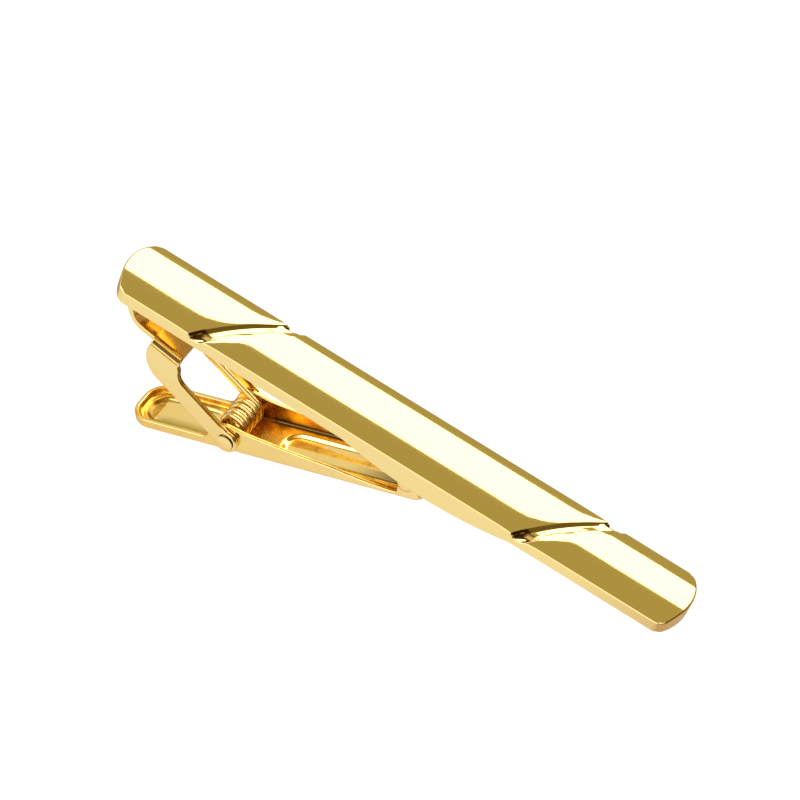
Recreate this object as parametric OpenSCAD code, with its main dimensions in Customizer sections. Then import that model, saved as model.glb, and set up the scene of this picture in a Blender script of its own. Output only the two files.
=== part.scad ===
// Sprung tie clip: a crowned front bar, a bent bracket fixed to its back, and a
// trough-shaped lever that turns on a cross rivet and is closed by a wound spring.
// The bar runs along X, its face looks along +Z, and the lever hangs below its back.

/* [Front bar] */
// Length of the front bar, end to end
bar_length = 58; // [54:0.5:62]
// Width of the front bar
bar_width = 7; // [6.9:0.1:8]
// Thickness of the bar along its long edges
edge_thickness = 1.25; // [1.1:0.05:1.6]
// Height of the crowned face above the long edges
crown_rise = 0.63; // [0.5:0.01:0.8]
// How far the middle of each end stands past its corners
end_bow = 1.31; // [1:0.01:1.6]

/* [Grooves in the face] */
// Middle of the left groove, measured from the bar's left end
left_groove_inset = 11.9; // [10:0.1:14]
// Middle of the right groove, measured from the bar's right end
right_groove_inset = 13.3; // [11:0.1:15]
// How far a groove runs sideways while it crosses the bar
groove_run = 6; // [4:0.1:7]
// Width of the groove's flat bottom
groove_flat = 0.24; // [0.1:0.02:0.5]
// Width of the rolled shoulder on each side of a groove
groove_shoulder = 1.7; // [1.2:0.1:2.4]
// Thickness of the bar left under a groove
groove_floor = 1.02; // [0.8:0.02:1.2]

/* [Pad on the back] */
// Middle of the pad, past the tip of the lever
pad_lead = 0.72; // [0.4:0.02:1.2]
// Length of the pad
pad_length = 17.2; // [15:0.2:19]
// Depth of the pad at its middle
pad_depth = 1.05; // [0.8:0.05:1.2]

/* [Bracket] */
// Thickness of the bracket's sheet
bracket_sheet = 0.5; // [0.4:0.05:0.6]
// Width of the bracket over its two arms
bracket_width = 6.4; // [6.3:0.1:6.8]
// Outer radius of the bends between foot and arms
bend_radius = 1; // [0.8:0.1:1.4]
// Depth of the foot's lower face below the bar
foot_drop = 2.25; // [2:0.05:2.6]
// Outer radius of the foot's curled left end
curl_radius = 2.5; // [2.3:0.1:2.7]
// Middle of the curl, measured from the bar's left end
curl_inset = 4.7; // [4:0.1:5.5]
// Flat length of the foot between the curl and the relief cuts
curl_flat = 0.5; // [0.3:0.05:0.8]
// Width of the small relief cuts between curl and arms
relief_width = 0.25; // [0.2:0.05:0.4]
// Width of the arms' necks, along the bar
neck_width = 3.2; // [3:0.05:3.5]
// Distance from the necks' left side to the rivet, along the bar
arm_span = 9.45; // [9.2:0.05:9.7]
// Radius of the arms' outer elbow
elbow_radius = 2.62; // [2.5:0.02:2.8]
// Radius of the arms' inner throat
throat_radius = 1.5; // [1.2:0.05:1.8]
// Depth of the throat's middle below the bar
throat_drop = 4.4; // [4.2:0.05:4.6]
// Radius of the round eye at the end of each arm
eye_radius = 1.15; // [1.05:0.05:1.3]
// Height of an arm above the line from rivet to elbow
arm_above = 1.12; // [1:0.02:1.15]
// Depth of an arm below the line from rivet to elbow
arm_below = 0.58; // [0.5:0.02:0.8]
// Slope of the arms, in degrees
arm_slope = 21.7; // [20:0.1:23]

/* [Rivet] */
// Depth of the rivet's middle below the bar
pivot_drop = 9.3; // [9.1:0.05:9.5]
// Radius of the rivet's shank
shank_radius = 0.5; // [0.4:0.02:0.52]
// Radius of the rivet's domed heads
head_radius = 0.85; // [0.75:0.05:1]
// Height of the rivet's domed heads
head_height = 0.32; // [0.2:0.02:0.34]

/* [Lever] */
// Thickness of the lever's sheet
lever_sheet = 0.4; // [0.3:0.05:0.45]
// Gap between the lever and each arm
side_gap = 0.05; // [0.03:0.01:0.1]
// Running clearance of the rivet in the lever
rivet_gap = 0.05; // [0.02:0.01:0.08]
// Distance from the rivet down to the lever's lower face
floor_drop = 1.47; // [1.45:0.01:1.55]
// Reach of the thumb tab behind the rivet
tab_reach = 10.75; // [10.2:0.05:11.2]
// Height of the rim round the thumb tab
rim_height = 1; // [0.8:0.05:1.2]
// Reach of the lever's tip in front of the rivet
tip_reach = 19.45; // [19.3:0.05:19.6]
// Radius of the thumb tab's corners
tab_corner = 2.1; // [1.6:0.05:2.4]
// Radius of the lever's corners at the tip
tip_corner = 0.8; // [0.5:0.05:1]
// Radius of the cheeks round the rivet
cheek_radius = 2; // [1.9:0.05:2.1]
// How far the middle of the cheeks lies below the rivet
cheek_drop = 0.45; // [0.4:0.05:0.5]
// Length of the jaw, back from the lever's tip
jaw_length = 2.6; // [2.4:0.05:2.8]
// Height of the low side wall where the jaw starts
jaw_wall = 0.5; // [0.45:0.05:0.7]
// Height of the jaw's toothed edge above the rivet, at the lever's tip
jaw_height = 0.338; // [0.3:0.002:0.4]
// Length of the jaw's toothed edge, back from the lever's tip
teeth_length = 2.08; // [1.9:0.02:2.2]
// Depth of the jaw's teeth
tooth_depth = 0.22; // [0.15:0.01:0.3]
// Gap between the jaw's teeth and the pad when closed
jaw_gap = 0.03; // [0.02:0.01:0.05]
// Radius of the pressed dimple on each side of the jaw
dimple_radius = 0.75; // [0.6:0.05:0.8]
// Height of the pressed dimples
dimple_height = 0.22; // [0.15:0.01:0.3]
// Distance of the dimples from the lever's tip
dimple_inset = 1.45; // [1.4:0.02:1.55]
// Depth of the dimples' middle below the rivet
dimple_drop = 0.32; // [0.28:0.02:0.4]
// Start of the raised bead on the lever's floor, in front of the rivet
bead_start = 3.75; // [3.6:0.05:4.2]
// Distance of the bead's end from the lever's tip
bead_inset = 3.25; // [3:0.05:4.5]
// Height of the raised bead
bead_height = 0.4; // [0.3:0.05:0.45]
// Width of the raised bead
bead_width = 2.96; // [2.4:0.02:3.2]
// Height of the raised floor in the thumb tab
seat_height = 0.3; // [0.2:0.05:0.4]
// Radius of the raised floor's round end
seat_radius = 1.3; // [1.1:0.05:1.5]
// Distance of the raised floor from the thumb tab's end
seat_inset = 1.4; // [1.2:0.05:1.8]
// Start of the raised floor behind the rivet
seat_start = 3.4; // [3.2:0.1:4]

/* [Spring] */
// Diameter of the spring's wire
wire = 0.38; // [0.3:0.02:0.38]
// Radius of the coil, measured to the middle of the wire
coil_radius = 1.26; // [1.2:0.01:1.28]
// Gap between the coil and the lever's floor
coil_floor_gap = 0.04; // [0.02:0.01:0.06]
// Whole turns in the coil
coil_turns = 4; // [2:1:4]
// Gap between the coil's near end and the lever's wall
coil_near_gap = 0.08; // [0.05:0.01:0.15]
// Gap between the coil's far end and the lever's wall
coil_far_gap = 0.44; // [0.15:0.01:0.46]
// Length of the leg that lies on the lever's floor
floor_leg = 2.4; // [1.6:0.1:2.6]
// Distance of the leg's upright end from the foot's right edge
leg_inset = 0.74; // [0.6:0.02:1.2]
// Slope of the straight leg that runs up beside the arm, in degrees
leg_slope = 23; // [22:0.5:24]
// Radius of the turn that takes the leg up to the foot
leg_turn = 0.9; // [0.8:0.05:1]
// Gap between the end of the leg and the foot
leg_gap = 0.04; // [0.02:0.01:0.08]

/* [Hidden] */

// Cuts run past the faces that they open by this much
overrun = 1;

// Front bar
bar_top = edge_thickness + crown_rise;
crown_radius = (pow(bar_width / 2, 2) + pow(crown_rise, 2)) / (2 * crown_rise);
end_radius = (pow(bar_width / 2, 2) + pow(end_bow, 2)) / (2 * end_bow);
pad_radius = (pow(pad_length / 2, 2) + pow(pad_depth, 2)) / (2 * pad_depth);
left_groove_x = bar_length / 2 - left_groove_inset;
right_groove_x = bar_length / 2 - right_groove_inset;
groove_angle = atan(groove_run / bar_width);
// The shoulder's curve ends this share above the crown, so that it meets the face cleanly
shoulder_share = 1.04;
groove_rise = (bar_top - groove_floor) * shoulder_share;
groove_steps = 9;

// Bracket and rivet, to the left of the middle of the bar
curl_x = bar_length / 2 - curl_inset;
neck_left = curl_x - curl_flat - relief_width;
neck_right = neck_left - neck_width;
pivot_x = neck_left - arm_span;

// Lever
lever_width = bracket_width - 2 * bracket_sheet - 2 * side_gap;
lever_half = lever_width / 2;
floor_top = lever_sheet - floor_drop;
jaw_top = -pad_depth - jaw_gap;
jaw_teeth = 4;
jaw_start = tip_reach - jaw_length;
// Slope at which the closed lever's tip meets the pad
lever_slope = asin((jaw_top + pivot_drop) / norm([tip_reach, jaw_height])) - atan2(jaw_height, tip_reach);
// Ends of the toothed edge and middle of the pad, to the right of the middle of the bar
jaw_right = (tip_reach - (jaw_top + pivot_drop) * sin(lever_slope)) / cos(lever_slope) - pivot_x;
jaw_left = jaw_right - teeth_length;
pad_x = jaw_right + pad_lead;
// Top of the side wall from cheek to jaw: shares of the way along, and of its fall
wall_shares = [[0.035, 0.06], [0.1, 0.19], [0.22, 0.36], [0.41, 0.6], [0.66, 0.81], [1, 1]];
wall_high = cheek_radius - cheek_drop;
wall_low = jaw_wall - floor_drop;

// Spring
coil_near = lever_half - lever_sheet - coil_near_gap - wire / 2;
coil_far = lever_half - lever_sheet - coil_far_gap - wire / 2;
// The coil rests on the lever's floor, so its middle lies this far above the rivet, square to the floor
coil_rise = floor_top + coil_floor_gap + coil_radius + wire / 2;
coil_start = -90 + lever_slope;
coil_stop = 90 - leg_slope;
coil_sweep = 360 * coil_turns + coil_stop - coil_start;
rings_per_turn = 8;
tube_sides = 6;

// The object's lowest point is the thumb tab's lower edge, and its middle is the origin
low_point = -pivot_drop - tab_reach * sin(lever_slope) - floor_drop * cos(lever_slope);
lift = -(bar_top + low_point) / 2;

// A point given right of the bar's middle and above its back, as the lever sees it
function on_lever(x, z) =
    let (dx = x + pivot_x, dz = z + pivot_drop)
    [dx * cos(lever_slope) + dz * sin(lever_slope), dz * cos(lever_slope) - dx * sin(lever_slope)];

// Front bar

module bar_outline() {
    intersection() {
        square([bar_length + overrun, bar_width], center = true);
        union() {
            square([bar_length - 2 * end_bow, bar_width], center = true);
            for (side = [-1, 1])
                translate([side * (bar_length / 2 - end_radius), 0])
                    circle(r = end_radius, $fn = 120);
        }
    }
}

module groove_cutter(x) {
    profile = concat(
        [for (i = [groove_steps:-1:0])
            [-groove_flat / 2 - groove_shoulder * (1 - cos(90 * i / groove_steps)),
             groove_floor + groove_rise * sin(90 * i / groove_steps)]],
        [for (i = [0:groove_steps])
            [groove_flat / 2 + groove_shoulder * (1 - cos(90 * i / groove_steps)),
             groove_floor + groove_rise * sin(90 * i / groove_steps)]],
        [[groove_flat / 2 + groove_shoulder, bar_top + overrun],
         [-groove_flat / 2 - groove_shoulder, bar_top + overrun]]);
    translate([x, 0, 0])
        rotate([0, 0, -groove_angle])
            rotate([90, 0, 0])
                linear_extrude(height = 2 * (bar_width + groove_run), center = true)
                    polygon(profile);
}

module front_bar() {
    color("gold")
        translate([0, 0, lift]) {
            difference() {
                intersection() {
                    linear_extrude(height = bar_top)
                        bar_outline();
                    translate([0, 0, bar_top - crown_radius])
                        rotate([0, 90, 0])
                            cylinder(r = crown_radius, h = bar_length + 2 * overrun, center = true, $fn = 180);
                }
                groove_cutter(-left_groove_x);
                groove_cutter(right_groove_x);
            }
            intersection() {
                translate([pad_x, 0, pad_radius - pad_depth])
                    rotate([90, 0, 0])
                        cylinder(r = pad_radius, h = bar_width, center = true, $fn = 360);
                translate([pad_x - pad_length, -bar_width, -pad_depth - overrun])
                    cube([2 * pad_length, 2 * bar_width, pad_depth + overrun + edge_thickness / 2]);
            }
        }
}

// Bracket

// A bar's end view with rounded upper corners, hanging down from z = 0
module rounded_top(width, radius, depth) {
    translate([-width / 2, -depth])
        square([width, depth - radius]);
    translate([-width / 2 + radius, -depth])
        square([width - 2 * radius, depth]);
    for (side = [-1, 1])
        translate([side * (width / 2 - radius), -radius])
            circle(r = radius, $fn = 64);
}

// The foot and both arms seen from the end, as one bent strip
module channel_section() {
    depth = 2 * pivot_drop;
    difference() {
        rounded_top(bracket_width, bend_radius, depth);
        translate([0, -bracket_sheet])
            rounded_top(bracket_width - 2 * bracket_sheet, bend_radius - bracket_sheet, depth);
    }
}

// An arm and the foot's straight part seen from the side
module arm_outline() {
    elbow_x = -neck_left + elbow_radius;
    elbow_z = -throat_drop + throat_radius * (1 - cos(arm_slope)) / 2;
    throat_x = -neck_right + throat_radius;
    strip = pivot_drop + neck_left - pivot_x;
    difference() {
        union() {
            translate([-neck_left, -throat_drop])
                square([neck_left - neck_right, throat_drop - foot_drop + bracket_sheet]);
            translate([elbow_x, elbow_z])
                circle(r = elbow_radius, $fn = 96);
            intersection() {
                translate([-pivot_x, -pivot_drop])
                    rotate(180 - arm_slope)
                        translate([0, -arm_above])
                            square([strip, arm_above + arm_below]);
                translate([elbow_x, -2 * pivot_drop])
                    square([strip, 2 * pivot_drop]);
            }
            translate([-pivot_x, -pivot_drop])
                circle(r = eye_radius, $fn = 64);
        }
        translate([throat_x, -throat_drop])
            circle(r = throat_radius, $fn = 96);
        translate([-neck_right, -throat_drop])
            square([strip, throat_drop]);
        translate([-pivot_x, -pivot_drop])
            rotate(180 - arm_slope)
                translate([0, -arm_above - 2 * throat_drop])
                    square([-(throat_x + pivot_x) / cos(arm_slope) - throat_radius * sin(arm_slope) / 2,
                            2 * throat_drop]);
    }
}

// The foot's curled left end seen from the side
module curl_outline() {
    intersection() {
        translate([-curl_x, curl_radius - foot_drop])
            difference() {
                circle(r = curl_radius, $fn = 120);
                circle(r = curl_radius - bracket_sheet, $fn = 120);
            }
        translate([-curl_x - 2 * curl_radius, -foot_drop - overrun])
            square([2 * curl_radius, foot_drop + overrun]);
    }
}

module bracket() {
    arm_start = neck_left + relief_width;
    color("goldenrod")
        translate([0, 0, lift])
            difference() {
                union() {
                    intersection() {
                        translate([0, 0, -foot_drop + bracket_sheet])
                            rotate([90, 0, 90])
                                linear_extrude(height = 2 * bar_length, center = true)
                                    channel_section();
                        rotate([90, 0, 0])
                            linear_extrude(height = 2 * bracket_width, center = true)
                                arm_outline();
                    }
                    rotate([90, 0, 0])
                        linear_extrude(height = bracket_width, center = true)
                            curl_outline();
                    translate([-curl_x, -bracket_width / 2, -foot_drop])
                        cube([curl_x - arm_start, bracket_width, bracket_sheet]);
                    translate([-curl_x, bend_radius - bracket_width / 2, -foot_drop])
                        cube([curl_x - neck_right - bend_radius, bracket_width - 2 * bend_radius, bracket_sheet]);
                }
                translate([-pivot_x, 0, -pivot_drop])
                    rotate([90, 0, 0])
                        cylinder(r = shank_radius, h = bracket_width + 2 * overrun, center = true, $fn = 64);
            }
}

// Rivet

module rivet_head() {
    dome = (pow(head_radius, 2) + pow(head_height, 2)) / (2 * head_height);
    rotate_extrude($fn = 64)
        intersection() {
            translate([0, head_height - dome])
                circle(r = dome, $fn = 180);
            square([head_radius, head_height]);
        }
}

module pivot_rivet() {
    color("khaki")
        translate([-pivot_x, 0, lift - pivot_drop]) {
            rotate([90, 0, 0])
                cylinder(r = shank_radius, h = bracket_width, center = true, $fn = 64);
            for (side = [-1, 1])
                translate([0, side * bracket_width / 2, 0])
                    rotate([-90 * side, 0, 0])
                        rivet_head();
        }
}

// Lever, drawn with the rivet at 0 and its floor level

module tray_outline(inset) {
    half = lever_half - inset;
    corner = tip_corner - inset;
    tab = tab_corner - inset;
    for (side = [-1, 1])
        translate([tab_corner - tab_reach, side * (half - tab)])
            circle(r = tab, $fn = 64);
    translate([inset - tab_reach, tab - half])
        square([tab_corner, 2 * (half - tab)]);
    translate([tab_corner - tab_reach, -half])
        square([tip_reach - tip_corner - tab_corner + tab_reach, 2 * half]);
    translate([0, corner - half])
        square([tip_reach - inset, 2 * (half - corner)]);
    for (side = [-1, 1])
        translate([tip_reach - inset - corner, side * (half - corner)])
            circle(r = corner, $fn = 48);
}

// Side walls, rim, cheeks and jaws, seen from the side
module wall_outline() {
    tooth = (jaw_right - jaw_left) / jaw_teeth;
    crest = [for (i = [0:2 * jaw_teeth])
        on_lever(jaw_left + tooth * i / 2, jaw_top - (i % 2 == 0 ? 0 : tooth_depth))];
    translate([-tab_reach - overrun, -floor_drop])
        square([tab_reach + overrun, rim_height]);
    intersection() {
        translate([0, -cheek_drop])
            circle(r = cheek_radius, $fn = 96);
        translate([-cheek_radius, -floor_drop])
            square([2 * cheek_radius, 2 * cheek_radius]);
    }
    polygon(concat(
        [[-overrun, -floor_drop]],
        [for (s = wall_shares) [s[0] * jaw_start, wall_high + s[1] * (wall_low - wall_high)]],
        crest,
        [[tip_reach, on_lever(jaw_right, jaw_top)[1] - tooth], [tip_reach, -floor_drop + tip_corner],
         [tip_reach - tip_corner, -floor_drop]]));
    translate([tip_reach - tip_corner, tip_corner - floor_drop])
        circle(r = tip_corner, $fn = 48);
}

module bead() {
    bead_radius = (pow(bead_width / 2, 2) + pow(bead_height, 2)) / (2 * bead_height);
    length = tip_reach - bead_inset - bead_start - bead_width;
    intersection() {
        translate([bead_start + bead_width / 2, 0, floor_top + bead_height - bead_radius]) {
            rotate([0, 90, 0])
                cylinder(r = bead_radius, h = length, $fn = 64);
            for (x = [0, length])
                translate([x, 0, 0])
                    sphere(r = bead_radius, $fn = 64);
        }
        translate([0, lever_sheet / 2 - lever_half, floor_top - lever_sheet / 2])
            cube([tip_reach - lever_sheet / 2, lever_width - lever_sheet, lever_width]);
    }
}

module seat() {
    seat_reach = tab_reach - seat_inset;
    translate([0, 0, floor_top - lever_sheet / 2])
        linear_extrude(height = seat_height + lever_sheet / 2)
            union() {
                translate([seat_radius - seat_reach, 0])
                    circle(r = seat_radius, $fn = 64);
                translate([seat_radius - seat_reach, -seat_radius])
                    square([seat_reach - seat_radius - seat_start, 2 * seat_radius]);
            }
}

module dimples() {
    dimple_reach = tip_reach - dimple_inset;
    ball = (pow(dimple_radius, 2) + pow(dimple_height, 2)) / (2 * dimple_height);
    for (side = [-1, 1])
        intersection() {
            translate([dimple_reach, side * (lever_half + dimple_height - ball), -dimple_drop])
                sphere(r = ball, $fn = 96);
            translate([dimple_reach, side * (lever_half - lever_sheet / 2 + overrun / 2), -dimple_drop])
                cube([2 * dimple_radius, overrun, 2 * dimple_radius], center = true);
        }
}

module lever() {
    color("darkkhaki")
        translate([-pivot_x, 0, lift - pivot_drop])
            rotate([0, -lever_slope, 0])
                difference() {
                    union() {
                        difference() {
                            intersection() {
                                translate([0, 0, -floor_drop])
                                    linear_extrude(height = floor_drop + 2 * cheek_radius)
                                        tray_outline(0);
                                rotate([90, 0, 0])
                                    linear_extrude(height = 2 * lever_width, center = true)
                                        wall_outline();
                            }
                            translate([0, 0, floor_top])
                                linear_extrude(height = floor_drop + 2 * cheek_radius)
                                    tray_outline(lever_sheet);
                        }
                        bead();
                        seat();
                        dimples();
                    }
                    rotate([90, 0, 0])
                        cylinder(r = shank_radius + rivet_gap, h = lever_width + 2 * overrun, center = true, $fn = 64);
                }
}

// Spring: one unbroken wire, from the leg on the lever's floor to the leg at the foot

function coil_point(angle) =
    let (t = (angle - coil_start) / coil_sweep)
    [coil_radius * cos(angle) - coil_rise * sin(lever_slope),
     -coil_near + t * (coil_near + coil_far),
     coil_radius * sin(angle) + coil_rise * cos(lever_slope)];

first = coil_point(coil_start);
last = coil_point(coil_start + coil_sweep);
// The leg's upright end stands under the foot, behind the foot's right edge
upright_x = pivot_x - neck_right - leg_inset;
arm_leg = (last[0] - upright_x - leg_turn * (1 - sin(leg_slope))) / cos(leg_slope);
// Straight end of the arm leg, and the turn that takes it upright
leg_end = last + arm_leg * [-cos(leg_slope), 0, sin(leg_slope)];
turn_middle = leg_end + leg_turn * [sin(leg_slope), 0, cos(leg_slope)];
turn_steps = 4;
leg_top = pivot_drop - foot_drop - leg_gap;

path = concat(
    [first - floor_leg * [cos(lever_slope), 0, sin(lever_slope)]],
    [for (i = [0:round(coil_sweep * rings_per_turn / 360)])
        coil_point(coil_start + coil_sweep * i / round(coil_sweep * rings_per_turn / 360))],
    [for (i = [0:turn_steps])
        let (a = 270 - leg_slope - (90 - leg_slope) * i / turn_steps)
        turn_middle + leg_turn * [cos(a), 0, sin(a)]],
    [[turn_middle[0] - leg_turn, coil_far, leg_top]]);

function unit(v) = v / norm(v);
function heading(i) = unit(path[min(i + 1, len(path) - 1)] - path[max(i - 1, 0)]);

module torsion_spring() {
    rings = len(path);
    points = [for (i = [0:rings - 1])
        let (t = heading(i), n = unit(cross(t, [0, 1, 0])), b = cross(t, n))
        for (k = [0:tube_sides - 1])
            path[i] + wire / 2 * (cos(360 * k / tube_sides) * n + sin(360 * k / tube_sides) * b)];
    sides = [for (i = [0:rings - 2], k = [0:tube_sides - 1])
        let (a = i * tube_sides + k, b = i * tube_sides + (k + 1) % tube_sides)
        each [[a, a + tube_sides, b], [b, a + tube_sides, b + tube_sides]]];
    end = (rings - 1) * tube_sides;
    caps = [for (k = [1:tube_sides - 2])
        each [[0, k, k + 1], [end, end + k + 1, end + k]]];
    color("wheat")
        translate([-pivot_x, 0, lift - pivot_drop])
            polyhedron(points = points, faces = concat(sides, caps));
}

// Least gap of the wire to itself, between points at least half a turn apart
far_apart = rings_per_turn / 2 + 1;
self_gap = min([for (i = [0:len(path) - 1], j = [0:len(path) - 1])
    if (j - i >= far_apart) norm(path[i] - path[j]) - wire]);
echo(least_gap_of_the_wire_to_itself = self_gap);

front_bar();
bracket();
pivot_rivet();
torsion_spring();
lever();
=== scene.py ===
"""A sprung tie clip in polished gold plate: bar, bracket, rivet, spring and lever."""

import math

import bpy
import numpy as np
from mathutils import Matrix, Vector


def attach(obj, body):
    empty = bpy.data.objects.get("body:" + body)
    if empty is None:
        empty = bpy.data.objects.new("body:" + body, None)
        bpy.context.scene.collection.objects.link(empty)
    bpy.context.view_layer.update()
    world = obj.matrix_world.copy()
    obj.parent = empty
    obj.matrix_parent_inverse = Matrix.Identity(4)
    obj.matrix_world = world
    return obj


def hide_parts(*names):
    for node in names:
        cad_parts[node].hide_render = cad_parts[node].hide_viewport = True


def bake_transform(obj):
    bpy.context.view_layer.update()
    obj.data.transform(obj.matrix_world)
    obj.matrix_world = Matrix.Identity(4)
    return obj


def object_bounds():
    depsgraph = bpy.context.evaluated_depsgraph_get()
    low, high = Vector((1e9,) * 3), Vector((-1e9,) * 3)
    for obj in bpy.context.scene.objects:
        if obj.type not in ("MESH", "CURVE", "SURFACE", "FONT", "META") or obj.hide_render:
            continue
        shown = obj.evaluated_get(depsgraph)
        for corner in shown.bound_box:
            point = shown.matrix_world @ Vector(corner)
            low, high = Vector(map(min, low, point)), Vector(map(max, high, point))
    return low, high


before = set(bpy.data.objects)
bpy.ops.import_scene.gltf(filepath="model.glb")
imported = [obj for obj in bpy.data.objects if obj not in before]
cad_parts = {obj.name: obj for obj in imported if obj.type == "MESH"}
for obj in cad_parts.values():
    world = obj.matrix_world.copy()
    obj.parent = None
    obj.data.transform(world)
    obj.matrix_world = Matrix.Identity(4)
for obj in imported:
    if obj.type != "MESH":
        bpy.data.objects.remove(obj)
cad_low, cad_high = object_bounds()

# Camera
# The clip is photographed from the front right and above with a long lens. The camera's place and turn
# were fitted to the bar's straight edges and bowed ends.
CAMERA_PLACE = (0.0386, -0.2147, 0.2569)
CAMERA_RIGHT = (0.8450, 0.4636, 0.2665)
CAMERA_UP = (-0.5206, 0.5991, 0.6084)
LENS_MM = 170.6
SENSOR_MM = 36.0

camera_data = bpy.data.cameras.new("camera")
camera_data.lens = LENS_MM
camera_data.sensor_width = SENSOR_MM
camera_data.clip_start = 0.01
camera_data.clip_end = 20.0
camera = bpy.data.objects.new("camera", camera_data)
right = Vector(CAMERA_RIGHT).normalized()
up = Vector(CAMERA_UP)
up = (up - up.dot(right) * right).normalized()
turn = Matrix((right, up, right.cross(up))).transposed().to_4x4()
camera.matrix_world = Matrix.Translation(CAMERA_PLACE) @ turn
bpy.context.scene.collection.objects.link(camera)
bpy.context.scene.camera = camera
bpy.context.scene.view_settings.view_transform = "Standard"
bpy.context.scene.view_settings.look = "None"

# Studio
# One broad softbox stands above and behind the clip, and a pale wall with a bright narrow strip in front.
# Brown flags overhead, behind and at the right give the gold its dark bands. Colours are linear, and a
# card's light is times the floor's.
ROOM_COLOUR = (0.90, 0.82, 0.60)
FLAG_COLOUR = (0.452, 0.390, 0.168)
DARK_FLAG_COLOUR = (0.16, 0.11, 0.035)
WALL_COLOUR = (1.0, 0.97, 0.9)
WALL_LIGHT = 1.35
STRIP_COLOUR = (1.0, 1.0, 1.0)
STRIP_LIGHT = 3.2
SOFTBOX_COLOUR = (1.0, 0.99, 0.97)
SOFTBOX_LIGHT = 2.9


class NodeBench:
    """Adds nodes to one tree and joins their sockets, so that a finish reads as a sum."""

    def __init__(self, tree):
        self.tree = tree
        tree.nodes.clear()

    def add(self, kind, inputs=None, **settings):
        """A new node. Each input is a number or colour, or the socket that feeds it."""
        node = self.tree.nodes.new(kind)
        for name, value in settings.items():
            setattr(node, name, value)
        for name, value in (inputs or {}).items():
            if isinstance(value, bpy.types.NodeSocket):
                self.tree.links.new(value, node.inputs[name])
            else:
                node.inputs[name].default_value = value
        return node

    def sum(self, operation, first, second=0.0, clamp=False):
        """The output of a node that reckons with one or two numbers."""
        node = self.add("ShaderNodeMath", {0: first, 1: second}, operation=operation, use_clamp=clamp)
        return node.outputs[0]


def between(bench, angle, low, high, soft):
    """A mask that is 1 where angle lies between low and high, with edges soft degrees wide."""
    rise = bench.add("ShaderNodeMapRange",
                     {"Value": angle, "From Min": low - soft / 2, "From Max": low + soft / 2})
    fall = bench.add("ShaderNodeMapRange",
                     {"Value": angle, "From Min": high + soft / 2, "From Max": high - soft / 2})
    return bench.sum("MULTIPLY", rise.outputs["Result"], fall.outputs["Result"])


world = bpy.data.worlds.new("studio")
bpy.context.scene.world = world
world.use_nodes = True
bench = NodeBench(world.node_tree)
direction = bench.add("ShaderNodeTexCoord").outputs["Generated"]
parts = bench.add("ShaderNodeSeparateXYZ", {0: direction})
x_side, y_side, z_side = parts.outputs[0], parts.outputs[1], parts.outputs[2]
tilt = bench.sum("MULTIPLY", bench.sum("ARCTAN2", y_side, z_side), 180 / math.pi)
swing = bench.sum("MULTIPLY", bench.sum("ARCSINE", x_side), 180 / math.pi)


def card(bench, below, colour, light, tilts, swings, soft=1.0, side_soft=3.0):
    """Lays one evenly lit card over the studio. Its tilts turn from the zenith to the back and its swings to
    the right, in degrees, and its edges fade over soft and side_soft degrees."""
    mask = bench.sum("MULTIPLY", between(bench, tilt, *tilts, soft),
                     between(bench, swing, *swings, side_soft))
    lit = [light * channel for channel in colour] + [1.0]
    return bench.add("ShaderNodeMix", {0: mask, 6: below, 7: lit}, data_type="RGBA").outputs[2]


sky = bench.add("ShaderNodeRGB").outputs[0]
sky.default_value = (*ROOM_COLOUR, 1.0)
sky = card(bench, sky, FLAG_COLOUR, 1.0, tilts=(66, 100), swings=(-85, -30), soft=10)
sky = card(bench, sky, WALL_COLOUR, WALL_LIGHT, tilts=(-100, -22), swings=(-75, 75), soft=6, side_soft=18)
sky = card(bench, sky, STRIP_COLOUR, STRIP_LIGHT, tilts=(-60, -34), swings=(-62, -26), soft=3, side_soft=8)
sky = card(bench, sky, FLAG_COLOUR, 1.0, tilts=(-22, 25), swings=(-60, 60))
sky = card(bench, sky, SOFTBOX_COLOUR, SOFTBOX_LIGHT, tilts=(24.7, 67.4), swings=(-36, 26))
sky = card(bench, sky, FLAG_COLOUR, 1.0, tilts=(67.4, 100), swings=(-36, 60))
sky = card(bench, sky, DARK_FLAG_COLOUR, 1.0, tilts=(-100, 100), swings=(27, 75))
# The camera itself sees plain white past the table
background = bench.add("ShaderNodeBackground", {"Color": sky, "Strength": 1.0})
pale = bench.add("ShaderNodeBackground", {"Color": (1.0, 1.0, 1.0, 1.0), "Strength": 1.0})
seen = bench.add("ShaderNodeLightPath").outputs["Is Camera Ray"]
mixed = bench.add("ShaderNodeMixShader", {0: seen, 1: background.outputs[0], 2: pale.outputs[0]})
bench.add("ShaderNodeOutputWorld", {"Surface": mixed.outputs[0]})

# Floor
# A plain white light table, seen plain white by the camera. The gold mirrors a painted picture of it: bright
# in front of the clip, a brown painted shadow of the clip from under it backwards, and darker beyond the
# clip's right end.
FLOOR_SIZE = 6.0
FLOOR_GLOW = 0.97
FLOOR_MATT = (0.12, 0.12, 0.12)
MIRRORED_RAMP_ACROSS = (-0.02, 0.02)
MIRRORED_DARK_RIGHT = (0.018, 0.036)
# Shares of the way across the mirrored ramp, and the colour the gold sees there
FLOOR_STOPS = ((0.0, (1.0, 0.99, 0.97)), (0.2, (0.98, 0.96, 0.93)), (0.32, (0.95, 0.87, 0.74)),
               (0.42, (0.90, 0.74, 0.50)), (0.52, (0.55, 0.42, 0.32)), (0.62, (0.42, 0.33, 0.30)),
               (1.0, (0.50, 0.44, 0.40)))
FLOOR_RIGHT = (0.60, 0.46, 0.36)

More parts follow.
